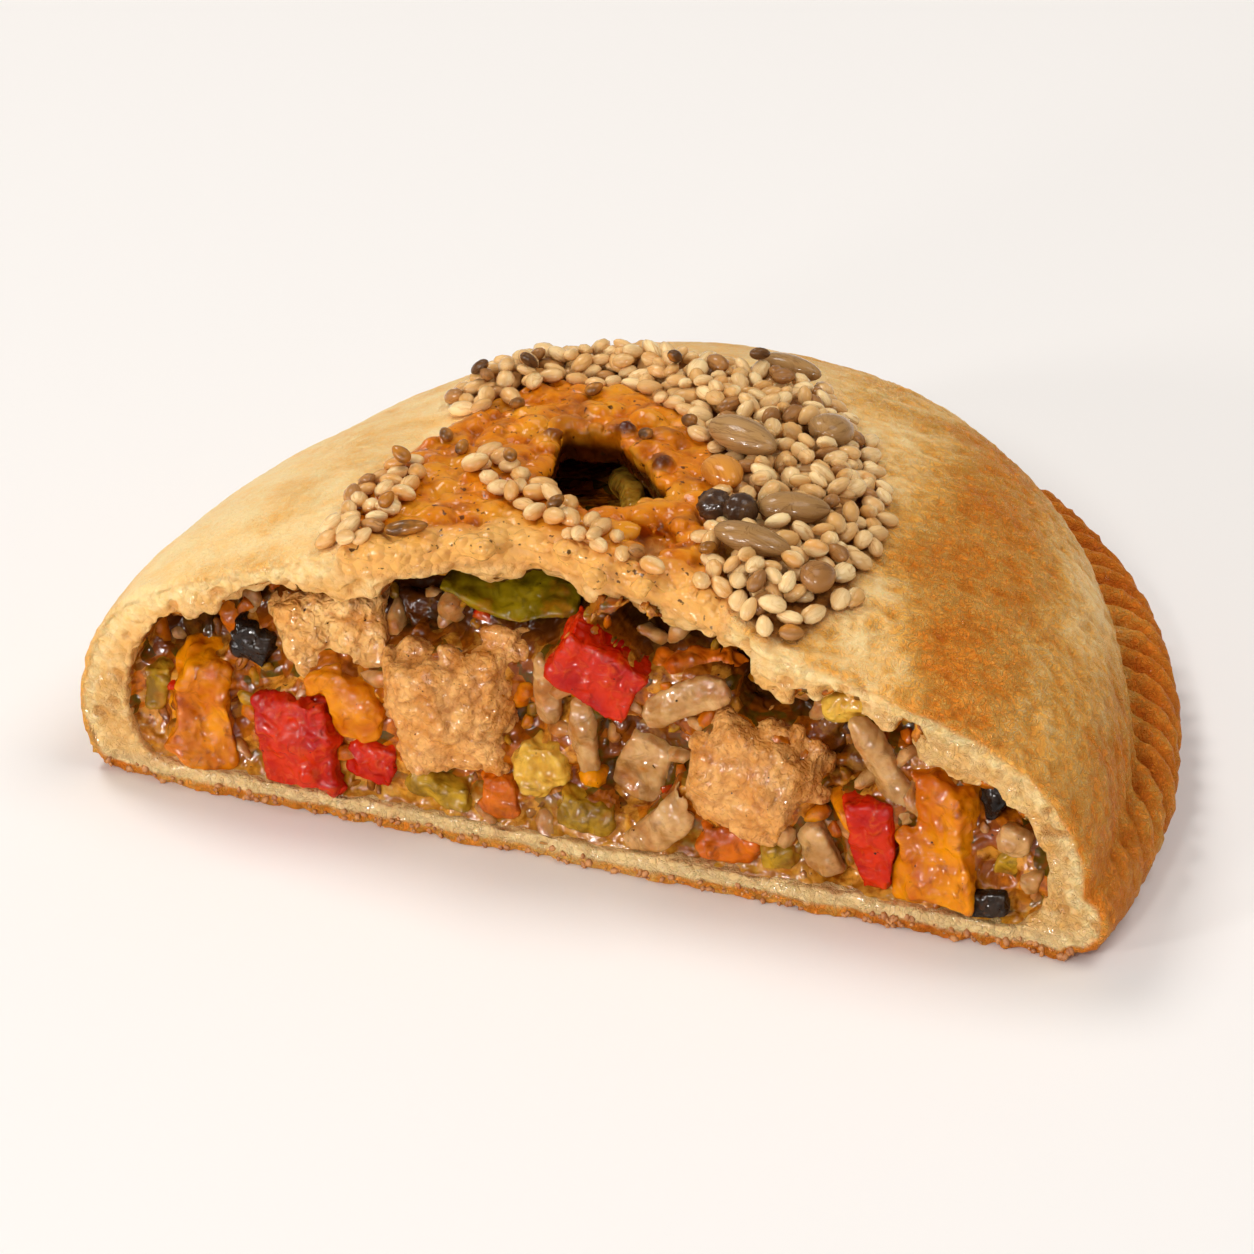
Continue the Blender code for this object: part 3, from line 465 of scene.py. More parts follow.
def knife():
    """What the cut takes away: a block whose rear face is the ragged broken surface."""
    bm = bmesh.new()
    bmesh.ops.create_grid(bm, x_segments=230, y_segments=84, size=1.0)
    flat = np.array([vert.co for vert in bm.verts])
    x = flat[:, 0] * 68.0
    z = flat[:, 1] * 24.0 + 20.0
    for vert, place in zip(bm.verts, np.stack([x, cut_depth(x, z), z], axis=1)):
        vert.co = place
    moved = bmesh.ops.extrude_face_region(bm, geom=bm.faces[:])["geom"]
    for vert in [item for item in moved if isinstance(item, bmesh.types.BMVert)]:
        vert.co.y = -130.0
    bmesh.ops.recalc_face_normals(bm, faces=bm.faces[:])
    return from_bmesh("knife", bm)


def vent_outline(angle):
    """The vent's edge in one direction, egg-shaped and uneven like torn dough."""
    wobble = 1.0 + 0.12 * math.cos(3 * angle + 0.6) + 0.07 * math.sin(5 * angle)
    wobble += 0.05 * math.sin(8 * angle + 1)
    flat = Vector((math.cos(angle) * VENT_LENGTH / 2, math.sin(angle) * VENT_WIDTH / 2, 0.0))
    return VENT_CENTRE + Matrix.Rotation(VENT_TURN, 3, "Z") @ (flat * wobble)


def inside_vent(x, y):
    """1 on the vent's edge, more outside it, less inside."""
    flat = Matrix.Rotation(-VENT_TURN, 3, "Z") @ Vector((x - VENT_CENTRE.x, y - VENT_CENTRE.y, 0.0))
    return math.hypot(flat.x / (VENT_LENGTH / 2), flat.y / (VENT_WIDTH / 2))


def sauce_dip():
    """The small crater beside the vent, where sauce welled up and sank back."""
    bm = bmesh.new()
    add_blob(bm, DIP_CENTRE, DIP_SIZE, yaw=math.radians(-50), sides=28, rings=18)
    return from_bmesh("sauce_dip", bm)


def vent_plug():
    bm = bmesh.new()
    bmesh.ops.create_cone(bm, cap_ends=True, segments=56, radius1=1.0, radius2=1.0, depth=16.0)
    for vert in bm.verts:
        angle = math.atan2(vert.co.y, vert.co.x)
        vert.co = vent_outline(angle) + Vector((0.0, 0.0, 32.0 + vert.co.z))
    return from_bmesh("vent_plug", bm)


def add_blob(bm, centre, size, yaw=0.0, pitch=0.0, sides=10, rings=8):
    """One small rounded lump, added to a mesh."""
    made = bmesh.ops.create_uvsphere(bm, u_segments=sides, v_segments=rings, radius=0.5)
    place = Matrix.LocRotScale(Vector(centre), Euler((pitch, 0.0, yaw)), Vector(size))
    bmesh.ops.transform(bm, matrix=place, verts=made["verts"])
    return made["verts"]


pastry = loaf("pastry", dome_radius, 0.0, BELLY_HEIGHT, DOME_TOP, foot_tuck, roof_sag)
knead(pastry, "UNION", crimp_roll())
outer_skin = skin_tree(pastry)
knead(pastry, "DIFFERENCE", loaf(
    "hollow", cavity_radius, BASE_THICKNESS, 9.0, DOME_TOP - ROOF_THICKNESS,
    lambda angle: 5.0, ceiling_sag))
knead(pastry, "DIFFERENCE", knife())
knead(pastry, "DIFFERENCE", vent_plug())
knead(pastry, "DIFFERENCE", sauce_dip())

# dough that bubbled and dripped: beads along the torn lip, and a lumpy ridge behind the vent
bubble_draw = random.Random(3)
bubbles = bmesh.new()
for count in range(84):
    x = bubble_draw.uniform(-52.0, 46.0)
    lip = float(roof_height(np.array(x), np.array(3.0))) - ROOF_THICKNESS
    lip -= float(ceiling_sag(np.array(x), np.array(2.0)))
    depth = float(cut_depth(np.array([x]), np.array([lip + 1.0]))[0])
    wide = bubble_draw.uniform(1.6, 3.7)
    add_blob(bubbles, (x, depth + 0.35 * wide + bubble_draw.uniform(-0.2, 1.8),
                       lip + bubble_draw.uniform(-0.5, 2.0)),
             (wide, wide * 0.9, wide * bubble_draw.uniform(0.8, 1.3)))
for count in range(30):
    angle = bubble_draw.uniform(0.0, 2 * math.pi)
    edge = vent_outline(angle)
    away = (edge - VENT_CENTRE).normalized()
    behind = max(0.0, (away.y - 0.5 * away.x) * 0.8)
    wide = bubble_draw.uniform(1.6, 3.0) * (1.0 + 0.4 * behind)
    spot = edge + away * (0.5 * wide + 0.5 + bubble_draw.uniform(0.0, 1.0 + 3.0 * behind))
    height = float(roof_height(np.array(spot.x), np.array(spot.y)))
    add_blob(bubbles, (spot.x, spot.y, height - 0.35 * wide + behind * bubble_draw.uniform(0.3, 1.0)),
             (wide, wide * bubble_draw.uniform(0.7, 1.3), wide), yaw=bubble_draw.uniform(0.0, 3.0))
for count in range(44):
    edge = vent_outline(2 * math.pi * (count + bubble_draw.random()) / 44)
    away = (edge - VENT_CENTRE).normalized()
    wide = bubble_draw.uniform(1.2, 2.6)
    spot = edge + away * (0.32 * wide)
    height = float(roof_height(np.array(spot.x), np.array(spot.y)))
    height += 1.0 * max(0.0, away.y) - bubble_draw.uniform(0.3, 1.9)
    add_blob(bubbles, (spot.x, spot.y, height), (wide, wide, wide * bubble_draw.uniform(0.9, 1.5)))
for count in range(150):
    x = bubble_draw.uniform(-27.0, 15.0)
    y = bubble_draw.uniform(2.0, 46.0)
    wide = bubble_draw.uniform(1.4, 4.0)
    if inside_outline(np.array(x), np.array(y), SAUCE_EDGE) < 0.5:
        continue
    if inside_vent(x, y) < 1.0 + 0.11 * wide:
        continue
    height = float(roof_height(np.array(x), np.array(y)))
    add_blob(bubbles, (x, y, height - 0.2), (wide, wide * bubble_draw.uniform(0.5, 0.9), 1.6),
             yaw=bubble_draw.uniform(0.0, math.pi))
bubble_lumps = from_bmesh("bubbles", bubbles)
dough = bmesh.new()
dough.from_mesh(pastry.data)
dough.from_mesh(bubble_lumps.data)
bpy.data.objects.remove(bubble_lumps, do_unlink=True)
dough.to_mesh(pastry.data)
dough.free()
even_out(pastry, SHELL_GRAIN, smooth=2)

# the valley between the dome and the rolled edge bakes soft, without a sharp groove
where = points_of(pastry)
angle = np.arctan2(where[:, 1] - PLAN_CENTRE[1], where[:, 0] - PLAN_CENTRE[0])
inset = outline_radius(angle) - np.hypot(where[:, 0] - PLAN_CENTRE[0], where[:, 1] - PLAN_CENTRE[1])
depth_in = depth_below(outer_skin, where)
valley = lobe(inset, 7.5, 5.5) * lobe(where[:, 2], 8.0, 7.0) * crimp_share(angle) * ramp(depth_in, 0.9, 0.3)
soften_where(pastry, valley, 40)


def thin_faces(thing, share):
    """Leaves that share of the faces, the larger ones where the surface is nearly flat."""
    fewer = thing.modifiers.new("fewer", "DECIMATE")
    fewer.ratio = share
    settle(thing)


def thin_hidden_faces(thing, share):
    """Leaves the faces that nothing shows coarser: the far inside and the underside."""
    where = points_of(thing)
    inner = depth_below(outer_skin, where)
    near_vent = np.hypot(where[:, 0] - VENT_CENTRE.x, where[:, 1] - VENT_CENTRE.y) < 16.0
    hidden = (inner > 2.0) & (where[:, 1] > 20.0) & ~near_vent
    hidden |= (where[:, 2] < 0.25) & (where[:, 1] > 6.0)
    group = thing.vertex_groups.new(name="hidden")
    group.add([int(i) for i in np.nonzero(hidden)[0]], 1.0, "REPLACE")
    fewer = thing.modifiers.new("fewer", "DECIMATE")
    fewer.ratio = share
    fewer.vertex_group = "hidden"
    fewer.vertex_group_factor = 1000.0
    settle(thing)
    thing.vertex_groups.clear()


def refine(thing, wanted):
    """Splits the faces whose corners all lie where the mask is true."""
    bm = bmesh.new()
    bm.from_mesh(thing.data)
    bm.verts.ensure_lookup_table()
    faces = [face for face in bm.faces if all(wanted[vert.index] for vert in face.verts)]
    edges = list(dict.fromkeys(edge for face in faces for edge in face.edges))
    bmesh.ops.subdivide_edges(bm, edges=edges, cuts=1, use_grid_fill=True)
    bmesh.ops.triangulate(bm, faces=[face for face in bm.faces if len(face.verts) > 4])
    bm.to_mesh(thing.data)
    bm.free()


thin_hidden_faces(pastry, 0.62)
where = points_of(pastry)
ceiling = roof_height(where[:, 0], where[:, 1])
on_lip = (where[:, 1] < 8.5) & (np.abs(where[:, 1] - cut_depth(where[:, 0], where[:, 2])) < 3.0)
on_sauce = (inside_outline(where[:, 0], where[:, 1], SAUCE_EDGE) > -1.0) & (where[:, 2] > ceiling - 4.5)
refine(pastry, on_lip | on_sauce)

where = points_of(pastry)
facing = normals_of(pastry)
depth_in = depth_below(outer_skin, where)
x, y, z = where.T
angle = np.arctan2(y - PLAN_CENTRE[1], x - PLAN_CENTRE[0])
inset = outline_radius(angle) - np.hypot(x - PLAN_CENTRE[0], y - PLAN_CENTRE[1])
turn = np.degrees(unwrap(angle))

# masks: bare crumb, sauce-soaked roof and the ground that the seeds are baked on
wander = np.stack([grain(where, 6.0, 1), grain(where, 6.0, 2)], axis=1) * 1.6
sauce_depth = inside_outline(x + wander[:, 0], y + wander[:, 1], SAUCE_EDGE)
sauce = ramp(sauce_depth, -1.0, 1.2) * ramp(z, 20.0, 24.0) * ramp(depth_in, 3.4, 1.6)
near_vent = np.hypot(x - VENT_CENTRE.x, y - VENT_CENTRE.y)
sauce = np.maximum(sauce, ramp(near_vent, 13.0, 11.0) * ramp(z, 26.0, 28.0) * (y > 14.0))
# painted shade: the inside of the vent below its rim is painted dark
painted_vent_shade = ramp(near_vent, 13.0, 11.0) * ramp(depth_in, 0.3, 1.5) * (y > 14.0)
seed_ground = ramp(inside_outline(x, y, SEED_FIELD), -0.8, 1.0) * ramp(depth_in, 1.5, 0.5)
crust_thick = 0.45 + 0.30 * grain(where, 4.0, 3) + 0.60 * ramp(z, 2.6, 1.0)
crumb = ramp(depth_in, crust_thick, crust_thick + 0.5) * (1.0 - sauce * ramp(depth_in, 2.4, 1.0))

# relief: slow waves in the crust, layers and pits in the crumb, lumps in the sauce, pleats
arc = np.radians(np.arange(-20.0, 200.0, 0.5))
edge_line = outline_radius(arc)[:, None] * np.stack([np.cos(arc), np.sin(arc)], axis=1)
run = np.concatenate([[0.0], np.cumsum(np.linalg.norm(np.diff(edge_line, axis=0), axis=1))])
along_edge = np.interp(turn, np.degrees(arc), run)
lean = along_edge - 1.05 * inset - 0.45 * z + 0.9 * grain(where, 9.0, 6)
pleat = np.abs(np.sin(np.pi * lean / FLUTE_PITCH)) ** 0.7
pleat_reach = ramp(turn, -8, 14) * ramp(turn, 176, 130) * ramp(z, 21.0, 8.0) * (1.0 - crumb)
pleat_size = (1.25 * ramp(inset, 9.5, 5.0) + 0.35 * ramp(inset, 15.0, 8.0)) * pleat_reach
wrinkle = np.abs(grain(where, 2.4, 7)) + 0.6 * np.abs(grain(where, 1.3, 8))
rough_bake = 0.35 + 0.65 * ramp(x, -10.0, 30.0)
shift = 0.24 * grain(where, 14.0, 9) + 0.14 * grain(where, 5.0, 10)
shift += (0.20 - 0.44 * wrinkle) * rough_bake * (1.0 - crumb) * (1.0 - sauce)
shift += (1.25 * pleat - 0.9) * pleat_size
swirl = 0.4 * np.stack([grain(where, 1.3, 21), grain(where, 1.3, 22), grain(where, 1.3, 23)], axis=1)
near = cobbles(where + swirl, 1.5, 1)
pits = ramp(grain(where, 2.1, 24), 0.30, 0.60)
layers = np.sin(2 * np.pi * (depth_in / 1.15 + 0.9 * grain(where, 5.0, 19))) * grain(where, 3.0, 20)
crumb_rise = 0.20 * grain(where, 3.0, 11) + 0.34 * (ramp(near, 0.9, 0.1) - 0.5)
crumb_rise -= 0.40 * pits * ramp(y, 9.0, 3.0)
crumb_rise += 0.22 * layers * ramp(y, 9.0, 5.0) * ramp(x, -20.0, 25.0)
crumb_rise *= 1.0 - 0.6 * ramp(z, 4.2, 2.4)
shift += crumb * crumb_rise
near = cobbles(where, 3.0, 2)
near_small = cobbles(where, 1.4, 5)
lumps = 0.75 * np.sqrt(np.maximum(1.0 - (near / 0.85) ** 2, 0.0))
lumps += 0.25 * np.sqrt(np.maximum(1.0 - (near_small / 0.8) ** 2, 0.0))
vent_side = ramp(facing[:, 2], 0.1, 0.6)
shift += sauce * (0.1 + (1.35 * lumps - 0.35) * vent_side)
shift += 0.35 * seed_ground
foot_rough = ramp(z, 3.2, 0.6) * ramp(depth_in, 1.8, 0.4)
shift += foot_rough * (0.40 * grain(where, 1.9, 13) + 0.3 * np.abs(grain(where, 0.9, 14)))
where = where + facing * shift[:, None]
where[:, 2] = np.maximum(where[:, 2], 0.02)
move_points(pastry, where)

# how brown the crust bakes, plus painted shade: the crimp's grooves and the wrinkles' hollows are painted
# browner
brown = 0.20 + 0.16 * grain(where, 22.0, 15) + 0.16 * grain(where, 8.0, 16)
brown += 0.48 * ramp(x + 0.15 * y + 2.5 * grain(where, 9.0, 26), 30.0, 40.0)
brown -= 0.22 * lobe(inset, 11.0, 7.0)
brown -= 0.16 * ramp(x, 0.0, -34.0) * ramp(z, 6.0, 22.0)
brown += 0.22 * ramp(x, -42.0, -56.0) * ramp(z, 20.0, 6.0)
brown += 0.10 * ramp(y, 8.0, 1.0) * ramp(x, -20.0, -40.0)
brown += 0.30 * ramp(inset, 9.0, 2.0) * ramp(turn, -15, 25) * ramp(turn, 185, 140)
# painted shade: the crimp's grooves browner and its ridges paler
brown += 0.55 * (0.6 - pleat) * np.minimum(pleat_size, 1.0)
brown += 0.35 * ramp(z, 5.0, 0.5) - 0.20 * lobe(z, 20.0, 9.0) * ramp(x, 30.0, 46.0)
# painted shade: the sunken hollows of the wrinkles browner
brown += 0.30 * (wrinkle - 0.45) * rough_bake
write_mask(pastry, "crumb", crumb)
write_mask(pastry, "sauce", sauce)
write_mask(pastry, "lumps", lumps)
write_mask(pastry, "seed_ground", seed_ground)
write_mask(pastry, "brown", np.clip(brown, 0.0, 1.2))
# painted shade: the hollow mask darkens the crumb in its pits and low places
write_mask(pastry, "hollow", np.clip(0.6 * pits - crumb_rise * 0.8, 0.0, 0.8) * crumb)
write_mask(pastry, "painted_vent_shade", painted_vent_shade)
write_mask(pastry, "base", ramp(z, 4.2, 2.4))
lip_fade = ramp(y - cut_depth(x, z) + 1.6 * grain(where, 3.5, 25), 0.2, 4.2)
write_mask(pastry, "thin_sauce", sauce * (1.0 - lip_fade))
soak = ramp(depth_in, 1.6, 3.0) * (0.70 + 0.45 * grain(where, 3.0, 17)) * ramp(z, 1.6, 2.6)
soak = np.maximum(soak, lobe(x, -4.0, 26.0) * ramp(z, 23.0, 28.0) * (0.78 + 0.4 * grain(where, 2.4, 18)))
write_mask(pastry, "soak", np.clip(soak, 0.0, 1.0))


class Recipe:
    """The node tree of a finish or of a shared effect, with short ways to add and join nodes."""

    def __init__(self, tree):
        self.tree = tree
        self.place = tree.nodes.new("ShaderNodeTexCoord").outputs["Object"]

    def fill(self, socket, value):
        """Puts a plain value, or what another node gives, into a socket."""
        if isinstance(value, (int, float, tuple)):
            socket.default_value = value
        else:
            self.tree.links.new(value, socket)

    def mask(self, name):
        node = self.tree.nodes.new("ShaderNodeAttribute")
        node.attribute_name = name
        return node.outputs["Fac"]

    def stretched(self, x, y, z):
        """The place on the piece, drawn out along an axis."""
        node = self.tree.nodes.new("ShaderNodeMapping")
        node.inputs["Scale"].default_value = (x, y, z)
        self.fill(node.inputs["Vector"], self.place)
        return node.outputs["Vector"]

    def speckle(self, size, detail=2.0, rough=0.5, warp=0.0, place=None):
        """Noise between 0 and 1 with features of that size in mm."""
        node = self.tree.nodes.new("ShaderNodeTexNoise")
        scale = self.sum("DIVIDE", 1000.0, size) if not isinstance(size, (int, float)) else 1000.0 / size
        self.fill(node.inputs["Scale"], scale)
        node.inputs["Detail"].default_value = detail
        node.inputs["Roughness"].default_value = rough
        node.inputs["Distortion"].default_value = warp
        self.fill(node.inputs["Vector"], place or self.place)
        return node.outputs["Fac"]

    def cells(self, size):
        """Strewn cells of that size in mm: the distance from the middle, and red, green, blue."""
        node = self.tree.nodes.new("ShaderNodeTexVoronoi")
        node.inputs["Scale"].default_value = 1000.0 / size
        self.fill(node.inputs["Vector"], self.place)
        parts = self.tree.nodes.new("ShaderNodeSeparateColor")
        self.fill(parts.inputs["Color"], node.outputs["Color"])
        return [node.outputs["Distance"]] + [parts.outputs[part] for part in ("Red", "Green", "Blue")]

    def span(self, value, low, high, start=0.0, end=1.0):
        """Reads a value between low and high as one between start and end."""
        node = self.tree.nodes.new("ShaderNodeMapRange")
        names = ("From Min", "From Max", "To Min", "To Max")
        for name, limit in zip(names, (low, high, start, end)):
            node.inputs[name].default_value = limit
        self.fill(node.inputs["Value"], value)
        return node.outputs["Result"]

    def sum(self, operation, one, other):
        node = self.tree.nodes.new("ShaderNodeMath")
        node.operation = operation
        self.fill(node.inputs[0], one)
        self.fill(node.inputs[1], other)
        return node.outputs["Value"]

    def blend(self, share, one, other):
        """A colour between two, each a plain colour or another node's."""
        node = self.tree.nodes.new("ShaderNodeMix")
        node.data_type = "RGBA"
        self.fill(node.inputs["Factor"], share)
        self.fill(node.inputs["A"], one)
        self.fill(node.inputs["B"], other)
        return node.outputs["Result"]

    def relief(self, height, strength, depth):
        """Fine relief of that depth in mm."""
        node = self.tree.nodes.new("ShaderNodeBump")
        node.inputs["Strength"].default_value = strength
        node.inputs["Distance"].default_value = depth * MM
        self.fill(node.inputs["Height"], height)
        return node.outputs["Normal"]

    def pour(self, effect, **values):
        """Adds a shared effect and returns its outputs."""
        node = self.tree.nodes.new("ShaderNodeGroup")
        node.node_tree = effect
        for name, value in values.items():
            self.fill(node.inputs[name.replace("_", " ")], value)
        return node.outputs

    def wet_ripples(self, size, depth):
        """The surface of the wet film, smoother than what it lies on."""
        return self.relief(self.speckle(size, 0.4, 0.5, 0.7), 1.0, depth)

    def surface(self, **values):
        """Fills the sockets of the finish's surface."""
        for name, value in values.items():
            self.fill(self.shader.inputs[name.replace("_", " ")], value)


def new_finish(name):
    finish = bpy.data.materials.new(name)
    finish.use_nodes = True
    recipe = Recipe(finish.node_tree)
    recipe.finish = finish
    recipe.shader = finish.node_tree.nodes["Principled BSDF"]
    return recipe


def new_effect(name, takes, gives):
    """A shared effect: what it takes and gives are named, each a colour or a value."""
    tree = bpy.data.node_groups.new(name, "ShaderNodeTree")
    for names, way in ((takes, "INPUT"), (gives, "OUTPUT")):
        for socket, kind in names.items():
            tree.interface.new_socket(socket, in_out=way, socket_type="NodeSocket" + kind)
    recipe = Recipe(tree)
    recipe.taken = tree.nodes.new("NodeGroupInput").outputs
    recipe.given = tree.nodes.new("NodeGroupOutput").inputs
    return recipe


crust = new_finish("baked_crust")
mottle = crust.speckle(4.0, 4.0, 0.6, 0.3)
curl = crust.speckle(1.3, 3.0, 0.55, 1.6)
curl = crust.sum("ABSOLUTE", crust.sum("SUBTRACT", curl, 0.5), 0.0)
curl = crust.span(curl, 0.0, 0.07, 1.0, 0.0)
# the crust's browning, together with the painted shade of the brown mask and the painted highlight on the
# curls
browning_and_painted_light = crust.sum("ADD", crust.mask("brown"), crust.span(mottle, 0.3, 0.7, -0.11, 0.11))
rough_part = crust.span(crust.mask("brown"), 0.05, 0.5, 0.35, 1.0)
curl = crust.sum("MULTIPLY", curl, rough_part)
# the raised curls painted paler: pale flakes, and painted highlight on their ridges
browning_and_painted_light = crust.sum("SUBTRACT", crust.sum("ADD", browning_and_painted_light, 0.10), crust.sum("MULTIPLY", curl, 0.28))
skin = crust.blend(crust.span(browning_and_painted_light, 0.0, 0.40), tone(255, 222, 160), tone(254, 182, 84))
skin = crust.blend(crust.span(browning_and_painted_light, 0.40, 0.75), skin, tone(246, 146, 44))
skin = crust.blend(crust.span(browning_and_painted_light, 0.75, 1.15), skin, tone(216, 110, 24))
cream = crust.blend(crust.span(crust.speckle(1.2, 4.0, 0.6), 0.35, 0.7),
                    tone(255, 226, 164), tone(246, 198, 118))
streak = crust.speckle(1.3, 3.0, 0.6, 0.6, crust.stretched(0.22, 1.0, 1.0))
cream = crust.blend(crust.span(streak, 0.5, 0.75, 0.0, 0.6), cream, tone(214, 158, 90))
cream = crust.blend(crust.sum("MULTIPLY", crust.mask("soak"), 0.65), cream, tone(224, 150, 52))
# painted shade: the crumb darker in its pits and low places
cream = crust.blend(crust.mask("hollow"), cream, tone(214, 150, 74))
cream = crust.blend(crust.sum("MULTIPLY", crust.mask("base"), 0.6), cream, tone(240, 206, 148))
dough_tone = crust.blend(crust.mask("crumb"), skin, cream)
# the ground under the seeds: an oil stain, and painted shade in the gaps between the seeds
ground = crust.blend(crust.span(crust.speckle(1.6, 3.0, 0.6), 0.35, 0.65),
                     tone(176, 112, 46), tone(108, 62, 22))
dough_tone = crust.blend(crust.mask("seed_ground"), dough_tone, ground)
# the sauce darker in the valleys between its lumps and lighter on their tops: partly its depth, partly
# painted shade and painted light
rise = crust.sum("ADD", crust.mask("lumps"), crust.span(crust.speckle(1.5, 3.0, 0.6), 0.3, 0.7, -0.3, 0.3))
glaze = crust.blend(crust.span(rise, -0.1, 0.4), tone(124, 58, 1), tone(196, 100, 4))
glaze = crust.blend(crust.span(rise, 0.4, 0.9), glaze, tone(222, 130, 16))
cooked_down = crust.span(crust.speckle(4.5, 3.0, 0.6, 0.5), 0.50, 0.66)
glaze = crust.blend(crust.sum("MULTIPLY", cooked_down, 0.75), glaze, tone(150, 76, 5))
golden = crust.span(crust.speckle(6.0, 2.0, 0.5), 0.5, 0.60)
glaze = crust.blend(crust.sum("MULTIPLY", golden, 0.6), glaze, tone(232, 158, 40))
glaze = crust.blend(crust.mask("thin_sauce"), glaze, tone(238, 176, 92))
# painted shade: the glaze nearly black inside the vent
glaze = crust.blend(crust.mask("painted_vent_shade"), glaze, tone(84, 34, 4))
herb = crust.span(crust.speckle(0.9, 2.0, 0.5), 0.66, 0.70)
glaze = crust.blend(crust.sum("MULTIPLY", herb, 0.85), glaze, tone(58, 30, 12))
wrinkle = crust.sum("ADD", crust.sum("MULTIPLY", crust.speckle(0.7, 4.0, 0.65, 1.4), 0.9),
                    crust.sum("MULTIPLY", curl, 0.4))
smooth_part = crust.sum("MAXIMUM", crust.mask("sauce"), crust.sum("MULTIPLY", crust.mask("crumb"), 0.6))
wrinkled_part = crust.sum("MULTIPLY", rough_part, crust.span(smooth_part, 0.0, 1.0, 1.0, 0.08))
wrinkle = crust.sum("MULTIPLY", wrinkle, wrinkled_part)
beaded_part = crust.sum("MAXIMUM", crust.mask("crumb"), crust.mask("thin_sauce"))
nodule = crust.sum("MULTIPLY", crust.cells(1.2)[0], 0.8)
crust_relief = crust.sum("SUBTRACT", wrinkle, crust.sum("MULTIPLY", beaded_part, nodule))
crust.surface(
    Base_Color=crust.blend(crust.mask("sauce"), dough_tone, glaze),
    Normal=crust.relief(crust_relief, 1.0, 0.8),
    Roughness=crust.span(smooth_part, 0.0, 1.0, 0.42, 0.12),
    Coat_Weight=crust.span(smooth_part, 0.0, 1.0, 0.03, 0.5), Coat_Roughness=0.07,
    Coat_Normal=crust.wet_ripples(1.8, 0.7), Coat_IOR=GRAVY_IOR, Specular_IOR_Level=0.06,
    Subsurface_Weight=0.16, Subsurface_Scale=0.0012,
    Subsurface_Radius=(1.0, 0.45, 0.18))
thin_faces(pastry, 0.58)
pastry_skin = skin_tree(pastry)
finish_piece(pastry, crust.finish, "pastry", "pastry_shell")

# ------------------------------------------------------------------ cooked chunks
# The large pieces of the filling lie at the cut: diced chicken, red pepper, squash, carrot, onion,
# courgette, leek leaf and a few charred bits, each cut by hand and softened in the pan.
# Every one stands in the place of its solid and keeps its form.
moist = new_effect("moist_skin", {"Light": "Color", "Middle": "Color", "Deep": "Color",
                                  "Patch": "Float", "Speck": "Float"},
                   {"Colour": "Color", "Height": "Float"})
patches = moist.speckle(moist.taken["Patch"], 3.0, 0.55, 0.3)
specks = moist.speckle(moist.taken["Speck"], 4.0, 0.65, 0.8)
tint = moist.blend(moist.span(patches, 0.36, 0.64), moist.taken["Light"], moist.taken["Middle"])
tint = moist.blend(moist.span(specks, 0.54, 0.78), tint, moist.taken["Deep"])
moist.fill(moist.given["Colour"], tint)
swells = moist.speckle(moist.taken["Speck"], 0.6, 0.5, 0.8)
moist.fill(moist.given["Height"], moist.sum("ADD", swells, moist.sum("MULTIPLY", specks, 0.10)))

# a film of gravy that clings in patches and thickens where the piece is stained, with herb specks
film = new_effect("gravy_film", {"Colour": "Color", "Amount": "Float"},
                  {"Colour": "Color", "Wet": "Float"})
pools = film.speckle(3.2, 3.0, 0.6, 0.5)
cover = film.sum("ADD", film.span(pools, 0.42, 0.66, -0.55, 0.45), film.taken["Amount"])
cover = film.span(cover, 0.0, 1.0)
gravy_tint = film.blend(film.span(film.speckle(1.4, 3.0, 0.6), 0.35, 0.65),
                        tone(196, 112, 22), tone(132, 62, 8))
stained = film.blend(film.sum("MULTIPLY", cover, 0.8), film.taken["Colour"], gravy_tint)
herb = film.span(film.speckle(0.8, 2.0, 0.5), 0.73, 0.77)
film.fill(film.given["Colour"], film.blend(herb, stained, tone(52, 28, 10)))
film.fill(film.given["Wet"], cover)


def cooked_finish(name, light, middle, deep, patch=3.0, speck=0.7, rough=0.28, coat=0.35,
                  bumps=0.35, glow=0.15, stain=0.1, pebble=0.0):
    """A moist cooked surface: three tones in patches, painted shade in its creases and pebble gaps, fine
    relief and clinging gravy.
    """
    recipe = new_finish(name)
    skin = recipe.pour(moist.tree, Light=light, Middle=middle, Deep=deep, Patch=patch, Speck=speck)
    # painted shade: the creases and cracks take the deep tone, from the hollow mask
    colour = recipe.blend(recipe.mask("hollow"), skin["Colour"], deep)
    height = skin["Height"]
    if pebble:
        gap = recipe.cells(pebble)[0]
        height = recipe.sum("SUBTRACT", height, recipe.sum("MULTIPLY", gap, 0.7))
        # painted shade in the sunken gaps between the pebbles
        colour = recipe.blend(recipe.span(gap, 0.5, 0.9, 0.0, 0.4), colour, deep)
    amount = recipe.sum("ADD", recipe.mask("stain"), stain)
    gravy = recipe.pour(film.tree, Colour=colour, Amount=amount)
    recipe.surface(
        Base_Color=gravy["Colour"], Normal=recipe.relief(height, 1.0, bumps),
        Roughness=recipe.span(gravy["Wet"], 0.0, 1.0, rough, 0.12),
        Coat_Weight=recipe.span(gravy["Wet"], 0.0, 1.0, 0.45 * coat, 0.45 * max(1.0, coat)),
        Coat_Roughness=0.07, Coat_Normal=recipe.wet_ripples(1.8, 0.85), Coat_IOR=GRAVY_IOR,
        Specular_IOR_Level=0.03, Subsurface_Weight=glow, Subsurface_Scale=0.0014,
        Subsurface_Radius=(1.0, 0.4, 0.15))
    return recipe.finish


